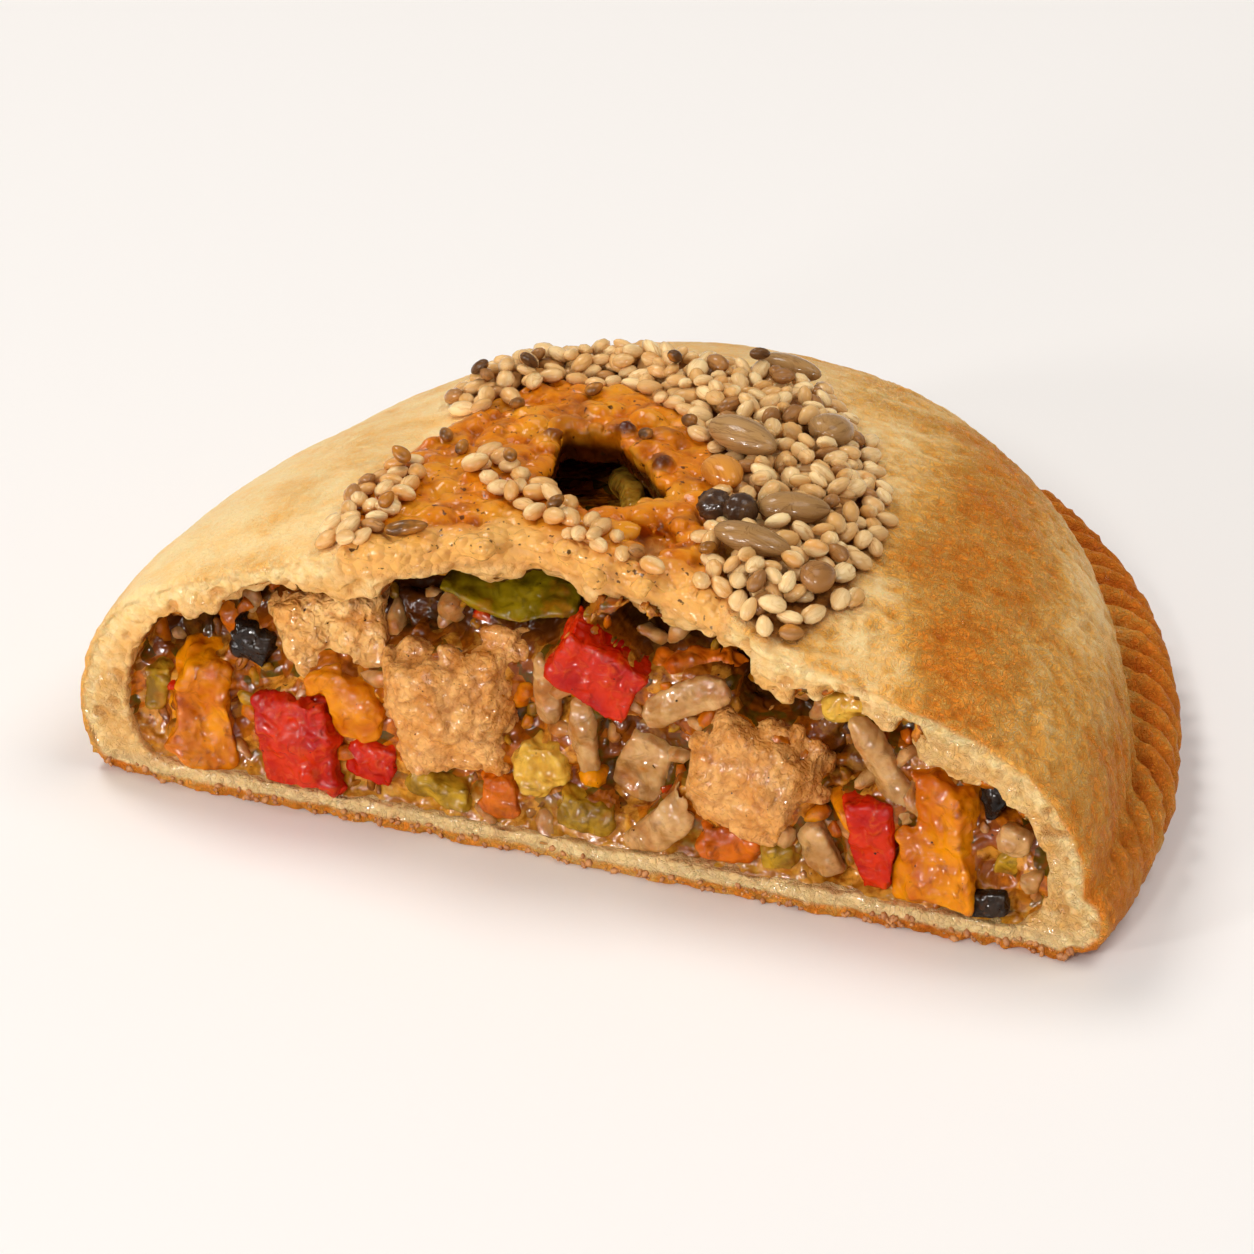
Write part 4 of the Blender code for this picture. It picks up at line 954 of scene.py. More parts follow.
FINISHES = {
    "chicken": cooked_finish("chicken_meat", tone(238, 178, 104), tone(218, 146, 68), tone(160, 90, 32),
                             patch=3.0, speck=0.6, rough=0.34, coat=0.9, bumps=0.30, stain=-0.15,
                             pebble=1.0),
    "pale_chicken": cooked_finish("pale_chicken_meat", tone(246, 196, 122), tone(226, 160, 80),
                                  tone(150, 84, 26), patch=3.4, speck=0.8, rough=0.26, coat=0.8,
                                  bumps=0.6, stain=0.0),
    "pepper": cooked_finish("red_pepper", tone(208, 44, 3), tone(174, 14, 1), tone(210, 78, 12),
                            patch=4.0, speck=1.5, rough=0.16, coat=1.0, bumps=0.7, stain=-0.3),
    "squash": cooked_finish("squash_flesh", tone(228, 140, 2), tone(190, 90, 0), tone(132, 52, 0),
                            patch=4.5, speck=2.0, rough=0.2, coat=0.9, bumps=0.5, glow=0.35,
                            stain=-0.2),
    "carrot": cooked_finish("carrot_flesh", tone(212, 106, 10), tone(172, 72, 5), tone(108, 38, 4),
                            patch=3.5, speck=1.7, rough=0.2, coat=1.0, bumps=0.6, stain=0.05),
    "onion": cooked_finish("cooked_onion", tone(212, 166, 106), tone(176, 124, 64), tone(124, 80, 34),
                           patch=2.4, speck=2.2, rough=0.14, coat=1.5, bumps=0.5, glow=0.4,
                           stain=0.08),
    "zucchini": cooked_finish("courgette_flesh", tone(190, 146, 34), tone(130, 92, 16), tone(58, 40, 6),
                              patch=2.4, speck=1.8, rough=0.2, coat=0.9, bumps=0.6, stain=0.0),
    "pale_zucchini": cooked_finish("pale_courgette", tone(232, 184, 72), tone(204, 148, 42),
                                   tone(120, 84, 18), patch=2.4, speck=1.8, rough=0.2, coat=0.9,
                                   bumps=0.6, stain=0.0),
    "bean": cooked_finish("vent_bean", tone(214, 166, 58), tone(178, 126, 36), tone(104, 68, 14),
                          patch=2.4, speck=1.8, rough=0.2, coat=1.0, bumps=0.6, glow=0.3, stain=-0.1),
    "leek": cooked_finish("leek_leaf", tone(146, 122, 8), tone(96, 76, 4), tone(54, 40, 4),
                          patch=3.5, speck=2.4, rough=0.14, coat=1.0, bumps=0.6, stain=-0.3),
    "char": cooked_finish("charred_skin", tone(52, 38, 28), tone(28, 18, 12), tone(12, 8, 6),
                          patch=2.0, speck=1.4, rough=0.2, coat=1.0, bumps=1.0, glow=0.0, stain=-0.5),
    "mushroom": cooked_finish("mushroom_flesh", tone(124, 82, 34), tone(88, 52, 18), tone(44, 26, 10),
                              patch=2.2, speck=1.6, rough=0.2, coat=0.9, bumps=0.7),
}
TEXTURES = {
    # swellings on the skin: how many and how large; bend, dents, creases, ripples in mm; softening
    "torn": (44, (1.8, 4.2), 0.90, 0.32, 0.42, 0.05, 22),
    "fold": (18, (2.2, 4.6), 1.30, 0.46, 0.10, 0.12, 14),
    "mash": (12, (1.8, 4.2), 1.25, 0.46, 0.0, 0.16, 8),
    "crisp": (0, (1.0, 1.0), 0.60, 0.28, 0.0, 0.22, 3),
    "blister": (12, (1.2, 2.4), 0.90, 0.34, 0.10, 0.42, 5),
    "leaf": (0, (1.0, 1.0), 0.60, 0.22, 0.0, 0.10, 2),
}
CHUNKS = [
    # the solid's name, its finish, its slot, its texture
    ("chicken_left", "chicken", "chicken", "torn"),
    ("chicken_right", "chicken", "chicken", "torn"),
    ("chicken_pale", "pale_chicken", "pale_chicken", "fold"),
    ("pepper_left", "pepper", "pepper", "blister"),
    ("pepper_mid", "pepper", "pepper", "crisp"),
    ("pepper_right", "pepper", "pepper", "crisp"),
    ("pepper_small", "pepper", "pepper", "blister"),
    ("squash_left", "squash", "squash", "mash"),
    ("squash_right", "squash", "squash", "mash"),
    ("squash_mid", "squash", "squash", "mash"),
    ("carrot_mid", "carrot", "carrot", "mash"),
    ("carrot_low", "carrot", "carrot", "mash"),
    ("carrot_left", "carrot", "carrot", "mash"),
    ("carrot_back_left", "carrot", "carrot", "mash"),
    ("carrot_back_right", "carrot", "carrot", "mash"),
    ("onion_mid", "onion", "onion", "leaf"),
    ("onion_right", "onion", "onion", "leaf"),
    ("onion_stem", "onion", "onion", "leaf"),
    ("onion_curved", "onion", "onion", "leaf"),
    ("onion_upright", "onion", "onion", "leaf"),
    ("onion_flake", "onion", "onion", "leaf"),
    ("onion_low", "onion", "onion", "leaf"),
    ("onion_dice", "onion", "onion", "mash"),
    ("onion_tip", "onion", "onion", "leaf"),
    ("zucchini_yellow", "pale_zucchini", "zucchini", "mash"),
    ("zucchini_dark", "zucchini", "zucchini", "mash"),
    ("zucchini_flat", "zucchini", "zucchini", "mash"),
    ("zucchini_pale", "zucchini", "zucchini", "mash"),
    ("zucchini_left", "zucchini", "zucchini", "mash"),
    ("zucchini_right", "zucchini", "zucchini", "mash"),
    ("bean_right", "pale_zucchini", "zucchini", "leaf"),
    ("bean_vent", "bean", "zucchini", "leaf"),
    ("leek_leaf", "leek", "leek", "leaf"),
    ("mushroom_dark", "char", "char", "blister"),
    ("char_right", "char", "char", "blister"),
    ("skin_right", "char", "char", "leaf"),
    ("mushroom_left", "mushroom", "sauce", "blister"),
]


def solid_of(node):
    """A copy of one piece's solid in mm round the cut, its faces joined up."""
    bm = bmesh.new()
    bm.from_mesh(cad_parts[node].data)
    bmesh.ops.remove_doubles(bm, verts=bm.verts[:], dist=1e-6)
    bmesh.ops.transform(bm, matrix=Matrix.Translation(CUT_MIDDLE) @ Matrix.Scale(1.0 / MM, 4),
                        verts=bm.verts[:])
    return bm


def spread_over(bm, draw, count):
    """Places strewn evenly over a surface, each with the way the surface faces."""
    faces = list(bm.faces)
    areas = [face.calc_area() for face in faces]
    places = []
    for face in draw.choices(faces, weights=areas, k=count):
        corners = [vert.co for vert in face.verts]
        shares = [draw.random() + 0.01 for _ in corners]
        spot = sum((corner * share for corner, share in zip(corners, shares)), Vector())
        places.append((spot / sum(shares), face.normal.copy()))
    return places


FOLDS = {
    # lumps that stand out from a piece: across, back and up from its middle, and how wide, in mm
    "chicken_left": [(5.2, 1.0, 7.4, 4.6), (6.6, 0.0, 6.2, 3.6), (3.6, 0.6, 8.0, 3.4),
                     (7.0, 2.0, 8.0, 3.4), (-6.6, -1.5, -1.0, 2.6), (-4.0, -2.0, 6.6, 3.0),
                     (0.0, -3.0, 7.2, 2.8)],
    "chicken_right": [(6.4, -2.0, 4.6, 3.0), (7.2, -1.0, 2.4, 2.8), (4.6, -2.5, 6.4, 2.8),
                      (-6.8, -1.0, 2.6, 3.4), (2.0, -2.5, 6.8, 2.6), (7.0, -2.0, -1.0, 3.2)],
    "chicken_pale": [(5.0, -1.0, 1.0, 4.4), (6.0, -0.5, -2.4, 3.4), (-4.4, -1.6, -3.4, 3.6),
                     (1.6, -2.2, 3.0, 3.8), (-5.0, -1.0, 3.0, 3.0), (3.4, -1.6, -3.8, 2.8)],
    "mushroom_dark": [(1.6, -1.0, 1.0, 2.4), (-1.4, -0.8, -1.6, 2.2)],
    "squash_left": [(-3.0, -1.5, -8.0, 3.0), (0.0, -1.8, -8.6, 2.6), (3.0, -1.4, -8.0, 3.0)],
    "pepper_left": [(4.6, -1.0, -5.0, 3.0), (4.8, -1.0, 1.0, 2.4)],
}


def cook(node, texture, seed):
    """Softens one solid: swellings grow on it, its faces bend and its skin dents and creases."""
    count, sizes, bend, dent, crease, ripple, passes = TEXTURES[texture]
    draw = random.Random(seed)
    low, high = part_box(node)
    span = max(high - low) / MM
    bm = solid_of(node)
    scale = min(1.0, span / 11.0)
    for spot, facing in spread_over(bm, draw, int(count * scale)):
        wide = draw.uniform(*sizes) * scale
        squash = draw.uniform(0.7, 1.2)
        add_blob(bm, spot - facing * wide * draw.uniform(0.15, 0.38), (wide, wide * squash, wide),
                 yaw=draw.uniform(0, 3), pitch=draw.uniform(0, 3))
    middle = Vector((low + high) / 2) / MM + CUT_MIDDLE
    for across, back, up, wide in FOLDS.get(node, []):
        add_blob(bm, middle + Vector((across, back, up)), (wide, wide * 0.9, wide * 0.85), yaw=across)
    thing = from_bmesh(node + "_cooked", bm)
    even_out(thing, 0.24 if span < 7.0 else 0.34, passes)
    where = points_of(thing)
    where = where + bend * scale * np.stack(
        [grain(where, 6.0, seed + 0.1 * axis) for axis in range(3)], axis=1)
    crack = ramp(np.abs(grain(where, 3.4, seed)), 0.16, 0.0)
    crack_small = ramp(np.abs(grain(where, 1.5, seed + 1)), 0.20, 0.0)
    near = cobbles(where, 1.2, seed + 4)
    shift = dent * grain(where, 3.0, seed + 2) + 0.5 * dent * grain(where, 1.1, seed + 3)
    shift -= crease * (0.75 * crack + 0.35 * crack_small + 0.30 * ramp(near, 0.25, 0.7) - 0.3)
    facing = normals_of(thing)
    upward = 0.35 + 0.65 * ramp(facing[:, 2], -0.4, 0.3)
    shift += ripple * (0.7 - 2.2 * np.abs(grain(where, 1.7, seed + 5))) * upward
    move_points(thing, where + facing * (shift * (0.5 + 0.5 * scale))[:, None])
    # painted shade: the hollow mask darkens the cracks and creases
    write_mask(thing, "hollow", np.clip(crease * (0.9 * crack + 0.4 * crack_small), 0.0, 0.6))
    low_down = ramp(where[:, 2], 11.0, 3.5)
    write_mask(thing, "stain", 0.35 * ramp(where[:, 1], 1.0, 6.0) + 0.12 * low_down)
    return thing


front_corners = []
front_faces = []
for number, (node, finish, slot, texture) in enumerate(CHUNKS):
    chunk = cook(node, texture, 20 + number)
    start = len(front_corners)
    front_corners.extend(vert.co.copy() for vert in chunk.data.vertices)
    front_faces.extend([start + corner for corner in face.vertices] for face in chunk.data.polygons)
    finish_piece(chunk, FINISHES[finish], slot, node)
chunk_skin = BVHTree.FromPolygons(front_corners, front_faces)

# ------------------------------------------------------------------ gravy
# Behind the chunks lies a thick orange-brown gravy full of soft bits, and the same gravy fills the
# narrow gaps between them and the dough. It is wet, lumpy, yellow where it is thin and low.
# Where it lies deep in the gaps between the chunks it is painted nearly black: painted shade.
gravy_recipe = new_finish("gravy")
_, chance, second, third = gravy_recipe.cells(2.2)
stew = gravy_recipe.blend(gravy_recipe.span(chance, 0.3, 0.7), tone(206, 112, 12), tone(156, 80, 8))
stew = gravy_recipe.blend(gravy_recipe.span(second, 0.66, 0.74), stew, tone(216, 146, 48))
stew = gravy_recipe.blend(gravy_recipe.span(third, 0.74, 0.80), stew, tone(96, 74, 12))
thick = gravy_recipe.speckle(1.1, 4.0, 0.6)
stew = gravy_recipe.blend(gravy_recipe.span(thick, 0.42, 0.66), stew, tone(136, 62, 6))
thin_gravy = gravy_recipe.blend(gravy_recipe.span(thick, 0.4, 0.6),
                                tone(208, 148, 48), tone(170, 104, 16))
stew = gravy_recipe.blend(gravy_recipe.mask("low"), stew, thin_gravy)
# painted shade: the gravy nearly black where it lies deep
stew = gravy_recipe.blend(gravy_recipe.mask("deep"), stew, tone(52, 22, 4))
filmed = gravy_recipe.pour(film.tree, Colour=stew, Amount=-0.1)
gravy_recipe.surface(
    Base_Color=filmed["Colour"],
    Normal=gravy_recipe.relief(gravy_recipe.speckle(2.0, 0.6, 0.5, 0.8), 1.0, 0.8),
    Roughness=0.2, Coat_Weight=gravy_recipe.span(gravy_recipe.mask("deep"), 0.0, 1.0, 0.6, 0.25),
    Coat_Normal=gravy_recipe.wet_ripples(2.0, 0.8),
    Coat_Roughness=0.08, Coat_IOR=GRAVY_IOR, Specular_IOR_Level=0.04, Subsurface_Weight=0.12,
    Subsurface_Scale=0.001, Subsurface_Radius=(1.0, 0.4, 0.15))


def lump_up(thing, seed, height, shares):
    """Lumps as of small soft bits just under the gravy."""
    where = points_of(thing)
    near = cobbles(where, 2.6, seed)
    near_small = cobbles(where, 1.2, seed + 1)
    shift = height * (ramp(near, 0.8, 0.1) - 0.45) + 0.3 * height * ramp(near_small, 0.7, 0.1)
    shift += 0.3 * height * grain(where, 4.0, seed + 2)
    move_points(thing, where + normals_of(thing) * (shift * shares)[:, None])


heap = from_bmesh("gravy_heap", solid_of("filling_heap"))
even_out(heap, 0.8, 3)
lump_up(heap, 60, 0.9, ramp(points_of(heap)[:, 1], 26.0, 18.0))
heap_skin = skin_tree(heap)
where = points_of(heap)
# painted shade: darker the deeper the heap lies behind the cut
write_mask(heap, "deep", ramp(where[:, 1], 3.0, 8.0) * ramp(where[:, 1], 16.0, 10.0) * 0.9)
write_mask(heap, "low", np.zeros(len(where)))
finish_piece(heap, gravy_recipe.finish, "sauce", "filling_heap")

# the gravy between the chunks: how far back the first thing lies, seen straight into the cut
STEP = 0.34
BALL = 2.5                     # mm, the widest gap that the gravy closes
across_cut = np.arange(-58.0, 56.0, STEP)
up_cut = np.arange(1.0, 35.0, STEP)
behind = np.full((len(across_cut), len(up_cut)), 24.0)
chunk_behind = behind.copy()
in_dough = np.zeros(behind.shape, dtype=bool)
into_cut = Vector((0.0, 1.0, 0.0))
for i, x in enumerate(across_cut):
    for j, z in enumerate(up_cut):
        start = Vector((x, -20.0, z))
        for skin in (chunk_skin, heap_skin, pastry_skin):
            spot = skin.ray_cast(start, into_cut)[0]
            if spot is None:
                continue
            if skin is chunk_skin:
                chunk_behind[i, j] = spot.y
            if spot.y < behind[i, j]:
                behind[i, j] = spot.y
                in_dough[i, j] = skin is pastry_skin and spot.y < 9.0


def shifted(field, i, j):
    return np.roll(np.roll(field, i, axis=0), j, axis=1)


def close_gaps(field, ball):
    """What a ball that rolls over the front of everything can't get behind."""
    reach = int(ball / STEP)
    rim = [(i, j, math.sqrt(ball ** 2 - (i * i + j * j) * STEP ** 2) - ball)
           for i in range(-reach, reach + 1) for j in range(-reach, reach + 1)
           if (i * i + j * j) * STEP ** 2 < ball ** 2]
    grown = np.full(field.shape, 99.0)
    for i, j, drop in rim:
        grown = np.minimum(grown, shifted(field, i, j) - drop)
    closed = np.full(field.shape, -99.0)
    for i, j, drop in rim:
        closed = np.maximum(closed, shifted(grown, i, j) + drop)
    return closed


def spread_mask(mask, cells):
    grown = mask.copy()
    for i in range(-cells, cells + 1):
        for j in range(-cells, cells + 1):
            if i * i + j * j <= cells * cells:
                grown |= shifted(mask, i, j)
    return grown


cut_x, cut_z = np.meshgrid(across_cut, up_cut, indexing="ij")
lip_low = roof_height(cut_x, 0 * cut_x + 3.0) - ROOF_THICKNESS - ceiling_sag(cut_x, 0 * cut_x + 2.0)
in_dough |= (cut_z > lip_low + 0.5) | (cut_z < BASE_THICKNESS - 0.3)
behind = np.where(in_dough & (behind > 9.0), 2.0, behind)
flat_places = np.stack([cut_x.ravel(), 0 * cut_x.ravel(), cut_z.ravel()], axis=1)
ebb = 0.55 + 2.2 * np.maximum(grain(flat_places, 6.0, 70), 0.0).reshape(cut_x.shape)
under_lip = 0.6 + 0.4 * grain(flat_places, 8.0, 71).reshape(cut_x.shape)
ebb += 4.5 * ramp(cut_z, lip_low - 6.5, lip_low - 1.5) * under_lip
filled = np.maximum(close_gaps(behind, BALL), 0.9) + 0.30 + np.where(in_dough, 0.2, ebb)
wanted = spread_mask(~in_dough, 4)

bm = bmesh.new()
bmesh.ops.create_grid(bm, x_segments=len(across_cut) - 1, y_segments=len(up_cut) - 1, size=1.0)
outside = []
for vert in bm.verts:
    i = round((vert.co.x + 1.0) / 2.0 * (len(across_cut) - 1))
    j = round((vert.co.y + 1.0) / 2.0 * (len(up_cut) - 1))
    vert.co = (across_cut[i], filled[i, j], up_cut[j])
    if not wanted[i, j]:
        outside.append(vert)
bmesh.ops.delete(bm, geom=outside, context="VERTS")
bmesh.ops.delete(bm, geom=[vert for vert in bm.verts if not vert.link_faces], context="VERTS")
bmesh.ops.recalc_face_normals(bm, faces=bm.faces[:])
if sum(face.normal.y for face in bm.faces) > 0:
    bmesh.ops.reverse_faces(bm, faces=bm.faces[:])
fill_skin = from_bmesh("gravy_between", bm)
lump_up(fill_skin, 80, 0.55, 1.0)
between = bmesh.new()
between.from_mesh(fill_skin.data)
moved = bmesh.ops.extrude_face_region(between, geom=between.faces[:], use_keep_orig=True)["geom"]
back = [item for item in moved if isinstance(item, bmesh.types.BMVert)]
bmesh.ops.translate(between, vec=(0.0, 1.6, 0.0), verts=back)
bmesh.ops.recalc_face_normals(between, faces=between.faces[:])
between.to_mesh(fill_skin.data)
between.free()
where = points_of(fill_skin)
# painted shade: darker the deeper the gravy lies between the chunks
write_mask(fill_skin, "deep", 0.95 * ramp(where[:, 1], 3.2, 8.5))
write_mask(fill_skin, "low", 0.8 * ramp(where[:, 2], 8.5, 4.0) * ramp(where[:, 1], 4.0, 2.0))
finish_piece(fill_skin, gravy_recipe.finish, "sauce")

# ------------------------------------------------------------------ small bits
# The gravy is full of small dice and shreds of the same vegetables, a millimetre or three across.
# One piece for each kind of bit, strewn over the gravy wherever it shows between the chunks.
BITS = {
    # how many, from how small to how large in mm, boxy or round
    "squash": (22, 1.8, 5.0, False),
    "carrot": (9, 1.8, 4.2, True),
    "onion": (40, 1.8, 5.2, False),
    "zucchini": (28, 1.6, 4.4, False),
    "pepper": (4, 1.2, 2.6, True),
    "mushroom": (16, 1.2, 3.2, False),
}
bit_draw = random.Random(5)
open_gap = (filled < chunk_behind - 0.1) & ~in_dough & (filled < 11.0)
gaps = np.argwhere(open_gap)
for kind, (count, smallest, largest, boxy) in BITS.items():
    bm = bmesh.new()
    for number in range(count):
        i, j = gaps[bit_draw.randrange(len(gaps))]
        wide = smallest + (largest - smallest) * bit_draw.random() ** 1.6
        size = Vector((wide, wide * bit_draw.uniform(0.35, 0.6), wide * bit_draw.uniform(0.45, 0.8)))
        spot = Vector((across_cut[i], filled[i, j] + 0.10 * wide, up_cut[j]))
        if boxy:
            made = bmesh.ops.create_cube(bm, size=1.0)["verts"]
            edges = list(dict.fromkeys(edge for vert in made for edge in vert.link_edges))
            rounded = bmesh.ops.bevel(bm, geom=edges, offset=0.2, segments=1, profile=0.5,
                                      affect="EDGES", material=-1)
            made = list(dict.fromkeys(vert for face in rounded["faces"] for vert in face.verts))
        else:
            made = bmesh.ops.create_icosphere(bm, subdivisions=2, radius=0.55)["verts"]
        for vert in made:
            dent = math.sin(5.5 * vert.co.x + 2.0 * number) * math.cos(4.5 * vert.co.z - number)
            vert.co *= bit_draw.uniform(0.92, 1.08) + 0.34 * dent
        turn = Euler([bit_draw.uniform(0.0, 6.28) for _ in range(3)])
        bmesh.ops.transform(bm, matrix=Matrix.LocRotScale(spot, turn, size), verts=made)
    bits = from_bmesh(kind + "_bits", bm)
    write_mask(bits, "stain", np.full(len(bits.data.vertices), 0.6))
    write_mask(bits, "hollow", np.zeros(len(bits.data.vertices)))
    finish_piece(bits, FINISHES[kind], "sauce")

# crumbs that broke from the brown foot of the crust along the cut
crumb_recipe = new_finish("brown_crumb")
grit = crumb_recipe.speckle(0.9, 3.0, 0.6)
crumb_tint = crumb_recipe.blend(crumb_recipe.span(grit, 0.35, 0.65),
                                tone(216, 146, 72), tone(168, 96, 34))
crumb_recipe.surface(
    Base_Color=crumb_tint,
    Normal=crumb_recipe.relief(crumb_recipe.speckle(0.5, 4.0, 0.7), 0.6, 0.3), Roughness=0.6)
bm = bmesh.new()
for number in range(170):
    x = bit_draw.uniform(-56.0, 57.0)
    z = 0.25 + 1.3 * bit_draw.random() ** 1.5
    spot = pastry_skin.ray_cast(Vector((x, -10.0, z)), into_cut)[0]
    if spot is None or spot.y > 3.0:
        continue
    wide = bit_draw.uniform(0.4, 1.3)
    made = bmesh.ops.create_icosphere(bm, subdivisions=1, radius=0.5)["verts"]
    for vert in made:
        vert.co *= bit_draw.uniform(0.8, 1.2)
    spot.z = max(spot.z, 0.3 * wide)
    turn = Euler([bit_draw.uniform(0.0, 6.28) for _ in range(3)])
    size = Vector((wide, wide * bit_draw.uniform(0.5, 0.9), wide * 0.6))
    bmesh.ops.transform(bm, matrix=Matrix.LocRotScale(spot, turn, size), verts=made)
for vert in bm.verts:
    vert.co.z = max(vert.co.z, 0.02)
foot_crumbs = from_bmesh("foot_crumbs", bm)
finish_piece(foot_crumbs, crumb_recipe.finish, "pastry")

# ------------------------------------------------------------------ baked-on seeds
# Sesame lies thick in a crescent behind and right of the vent, two deep in its middle, with thinner
# strips before and left of the vent. Sunflower kernels, brown seeds and peppercorns lie among it.
KERNELS = [
    # x, y, size, yaw in degrees, kind
    (8.2, 33.5, (9.8, 5.0, 3.6), -28, "kernel"),
    (16.3, 40.6, (6.6, 5.0, 3.4), 75, "kernel"),
    (8.5, 25.6, (6.6, 4.4, 3.2), -50, "soaked"),
    (18.4, 20.0, (7.8, 4.6, 3.4), 25, "kernel"),
    (16.4, 11.6, (8.6, 4.4, 3.2), 0, "kernel"),
    (10.0, 18.3, (3.9, 3.7, 3.6), 0, "pepper"),
    (13.2, 17.4, (3.9, 3.7, 3.6), 60, "pepper"),
    (24.4, 9.6, (4.8, 3.6, 2.8), 60, "toasted"),
    (5.6, 58.6, (8.6, 4.6, 3.0), -20, "kernel"),
    (-20.0, 4.2, (4.8, 1.9, 1.6), 20, "brown"),
]
SMALL_BROWN = [(-19.8, 36.9), (-24.8, 27.6), (-21.4, 24.0), (-25.7, 16.8), (-14.2, 20.0),
               (-5.7, 11.5), (-23.5, 7.4), (-3.0, 32.7), (-5.3, 49.4),
               (-26.7, 42.7), (-21.6, 45.4), (-12.9, 43.2), (3.2, 54.6), (0.8, 36.5), (12.5, 8.6)]
CELL = 0.3                     # mm, the grid that the heap's height is kept on
field_x = np.arange(-37.0, 33.0, CELL)
field_y = np.arange(-2.0, 66.0, CELL)
roof = np.full((len(field_x), len(field_y)), -50.0)
down = Vector((0.0, 0.0, -1.0))
for i, px in enumerate(field_x):
    for j, py in enumerate(field_y):
        spot = pastry_skin.ray_cast(Vector((px, py, 70.0)), down)[0]
        if spot is not None:
            roof[i, j] = spot.z
pile = roof.copy()
kept_clear = np.zeros(roof.shape, dtype=bool)
SEED_KINDS = ("sesame", "toasted", "kernel", "soaked", "pepper", "brown")
seed_meshes = {kind: bmesh.new() for kind in SEED_KINDS}
seed_notes = {kind: [] for kind in SEED_KINDS}


def rest_seed(x, y, size, yaw):
    """The height and lean of a seed laid on the pile, the cells it covers and its top there."""
    half = 0.5 * size[0] + CELL
    i0, i1 = np.searchsorted(field_x, [x - half, x + half])
    j0, j1 = np.searchsorted(field_y, [y - half, y + half])
    gx, gy = np.meshgrid(field_x[i0:i1] - x, field_y[j0:j1] - y, indexing="ij")
    u = (gx * math.cos(yaw) + gy * math.sin(yaw)) / (0.5 * size[0])
    w = (-gx * math.sin(yaw) + gy * math.cos(yaw)) / (0.5 * size[1])
    covered = u * u + w * w < 0.95
    heights = pile[i0:i1, j0:j1]
    if covered.sum() < 6 or heights[covered].min() < 5.0:
        return None
    if kept_clear[i0:i1, j0:j1][covered].mean() > 0.12:
        return None
    plane = np.stack([gx[covered], gy[covered], np.ones(covered.sum())], axis=1)
    slope = np.linalg.lstsq(plane, heights[covered], rcond=None)[0]
    if np.abs(slope[:2]).max() > 1.1:
        return None
    swell = 0.5 * size[2] * np.sqrt(1.0 - (u * u + w * w)[covered])
    lean = gx[covered] * slope[0] + gy[covered] * slope[1]
    centre = np.percentile(heights[covered] + swell - lean, 82)
    top = np.full(heights.shape, -99.0)
    top[covered] = centre + swell + lean
    return centre, slope, (slice(i0, i1), slice(j0, j1)), top


def lay_seed(kind, x, y, size, yaw, rested, shade, sides=8, rings=6, sharp=0.30):
    centre, slope, cells_covered, top = rested
    bm = seed_meshes[kind]
    made = bmesh.ops.create_uvsphere(bm, u_segments=sides, v_segments=rings, radius=0.5)["verts"]
    bmesh.ops.rotate(bm, verts=made, matrix=Matrix.Rotation(math.pi / 2, 3, "Y"))
    soaked = float(ramp(inside_outline(np.array(x), np.array(y), SAUCE_EDGE), -0.5, 3.0))
    if kind == "pepper":
        soaked = 0.0
    for vert in made:
        vert.co.y *= 1.0 - sharp * vert.co.x - 0.5 * max(vert.co.x, 0.0) ** 2
        vert.co.z *= 1.0 - 0.6 * sharp * vert.co.x
        if kind == "pepper":
            knobs = math.sin(19.0 * vert.co.x) * math.cos(23.0 * vert.co.y + 7.0 * vert.co.z)
            vert.co *= 1.0 + 0.09 * knobs
        seed_notes[kind].append((shade, soaked, vert.co.y * size[1], vert.co.x * size[0]))
    normal = Vector((-slope[0], -slope[1], 1.0)).normalized()
    forward = Vector((math.cos(yaw), math.sin(yaw), 0.0))
    forward = (forward - normal * forward.dot(normal)).normalized()
    lie = Matrix((forward, normal.cross(forward), normal)).transposed()
    place = Matrix.LocRotScale(Vector((x, y, centre)), lie.to_quaternion(), Vector(size))
    bmesh.ops.transform(bm, matrix=place, verts=made)
    pile[cells_covered] = np.maximum(pile[cells_covered], top)
    if kind in ("kernel", "soaked", "pepper"):
        kept_clear[cells_covered] |= top > -90.0


def strew_sesame(draw, attempts, layers):
    """Drops seeds at random and keeps those that find room in the crescent or the thin strips."""
    for _ in range(attempts):
        x = draw.uniform(-36.0, 32.0)
        y = draw.uniform(0.0, 64.0)
        yaw = draw.uniform(0.0, 2 * math.pi)
        scale = draw.uniform(0.84, 1.12)
        shade = draw.random()
        size = (3.05 * scale, 2.15 * scale * draw.uniform(0.9, 1.1), 1.65 * scale)
        in_field = float(inside_outline(np.array(x), np.array(y), SEED_FIELD))
        strip = abs(x + 5.0) < 13.0 and abs(y - (11.5 - 0.72 * (x + 5.0))) < 2.6
        left = ((x + 26.0) / 3.6) ** 2 + ((y - 9.5) / 10.5) ** 2 < 1.0
        stray = in_field > -1.6 and shade < 0.05
        if in_field < -0.4 and not strip and not left and not stray:
            continue
        rested = rest_seed(x, y, size, yaw)
        if rested is None:
            continue
        middle = float(ramp(np.array(in_field), 0.5, 4.5)) if in_field > 0 else 0.0
        over = rested[0] - roof[np.searchsorted(field_x, x), np.searchsorted(field_y, y)]
        if over < 1.2 + layers * middle:
            lay_seed("toasted" if draw.random() < 0.12 else "sesame", x, y, size, yaw, rested, shade)


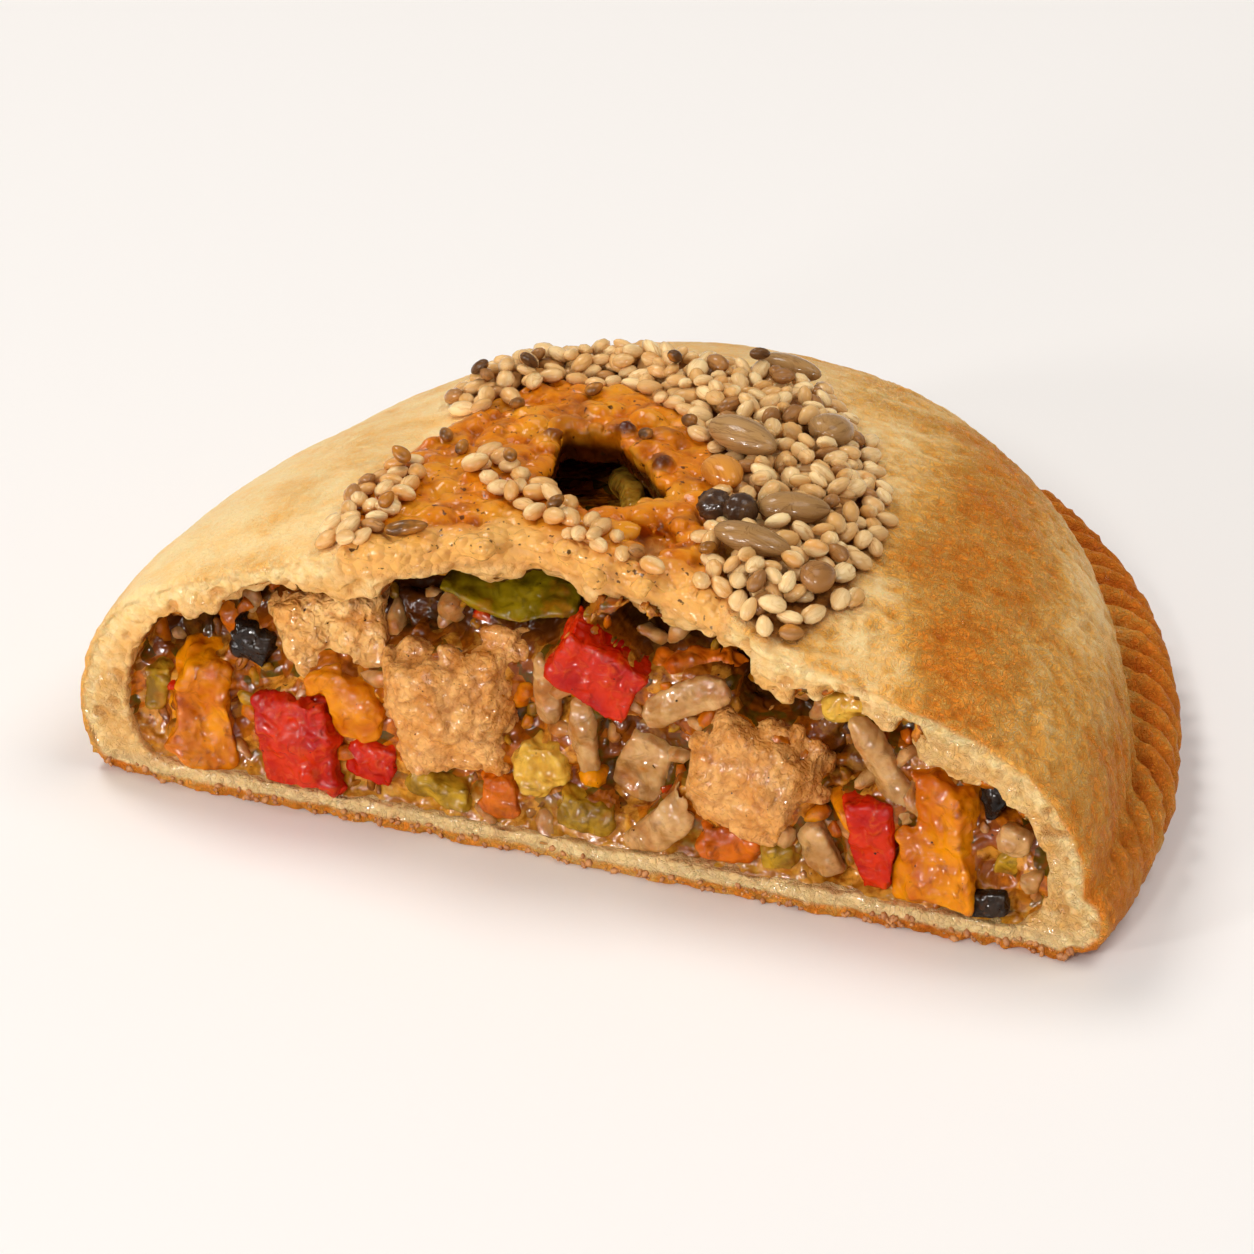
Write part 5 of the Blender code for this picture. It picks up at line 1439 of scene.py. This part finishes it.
seed_draw = random.Random(11)
strew_sesame(seed_draw, 2600, 0.3)
for x, y, size, yaw, kind in KERNELS:
    rested = rest_seed(x, y, size, math.radians(yaw))
    if rested is not None:
        lay_seed(kind, x, y, size, math.radians(yaw), rested, seed_draw.random(), 22, 16,
                 sharp=0.05 if kind == "pepper" else 0.3)
strew_sesame(seed_draw, 7000, 2.0)
for x, y in SMALL_BROWN:
    yaw = seed_draw.uniform(0.0, math.pi)
    size = (seed_draw.uniform(2.1, 2.8), seed_draw.uniform(1.5, 1.8), 1.4)
    rested = rest_seed(x, y, size, yaw)
    if rested is not None:
        lay_seed("brown", x, y, size, yaw, rested, seed_draw.random(), 12, 8)


def seed_finish(name, pale, dark, streak, rough=0.26, coat=0.8, ribs=0.6, depth=0.10):
    """A seed's skin: its own shade, fine ribs along it, and sauce where it lies in the glaze."""
    recipe = new_finish(name)
    along = recipe.tree.nodes.new("ShaderNodeCombineXYZ")
    recipe.fill(along.inputs["X"], recipe.mask("across"))
    recipe.fill(along.inputs["Y"], recipe.sum("MULTIPLY", recipe.mask("shade"), 50.0))
    recipe.fill(along.inputs["Z"], recipe.sum("MULTIPLY", recipe.mask("along"), 0.16))
    rib = recipe.speckle(1000.0 * ribs, 4.0, 0.6, 0.2, along.outputs["Vector"])
    colour = recipe.blend(recipe.mask("shade"), pale, dark)
    colour = recipe.blend(recipe.span(rib, 0.50, 0.72), colour, streak)
    sauced = recipe.span(recipe.speckle(2.0), 0.35, 0.6, 0.05, 0.6)
    sauced = recipe.sum("MULTIPLY", recipe.mask("soaked"), sauced)
    colour = recipe.blend(sauced, colour, tone(220, 142, 44))
    height = recipe.sum("ADD", rib, recipe.sum("MULTIPLY", recipe.speckle(0.5, 4.0, 0.6), 0.5))
    recipe.surface(
        Base_Color=colour, Normal=recipe.relief(height, 0.6, depth),
        Roughness=recipe.span(sauced, 0.0, 0.7, rough, 0.15),
        Coat_Weight=recipe.span(sauced, 0.0, 0.7, 0.4 * coat, 0.45), Coat_Roughness=0.12,
        Coat_IOR=GRAVY_IOR, Specular_IOR_Level=0.1, Subsurface_Weight=0.10, Subsurface_Scale=0.001,
        Subsurface_Radius=(1.0, 0.5, 0.25))
    return recipe.finish


seed_finishes = {
    "sesame": seed_finish("sesame_skin", tone(252, 220, 162), tone(220, 166, 96), tone(206, 150, 82)),
    "toasted": seed_finish("toasted_sesame_skin", tone(196, 140, 78), tone(146, 98, 52),
                           tone(122, 80, 42)),
    "kernel": seed_finish("kernel_skin", tone(184, 142, 88), tone(160, 118, 68), tone(130, 92, 50),
                          rough=0.22, coat=1.0, ribs=0.3, depth=0.14),
    "soaked": seed_finish("soaked_kernel_skin", tone(226, 156, 66), tone(208, 134, 48),
                          tone(180, 104, 30), rough=0.2, coat=1.0),
    "pepper": seed_finish("peppercorn_skin", tone(70, 46, 30), tone(46, 30, 20), tone(112, 80, 50),
                          rough=0.2, coat=1.2, depth=0.3),
    "brown": seed_finish("brown_seed_skin", tone(126, 86, 48), tone(84, 54, 28), tone(60, 36, 18),
                         rough=0.24, coat=0.6),
}
for kind, bm in seed_meshes.items():
    seeds = from_bmesh(kind + "_seeds", bm)
    for name, values in zip(("shade", "soaked", "across", "along"), zip(*seed_notes[kind])):
        write_mask(seeds, name, values)
    finish_piece(seeds, seed_finishes[kind], "pastry")
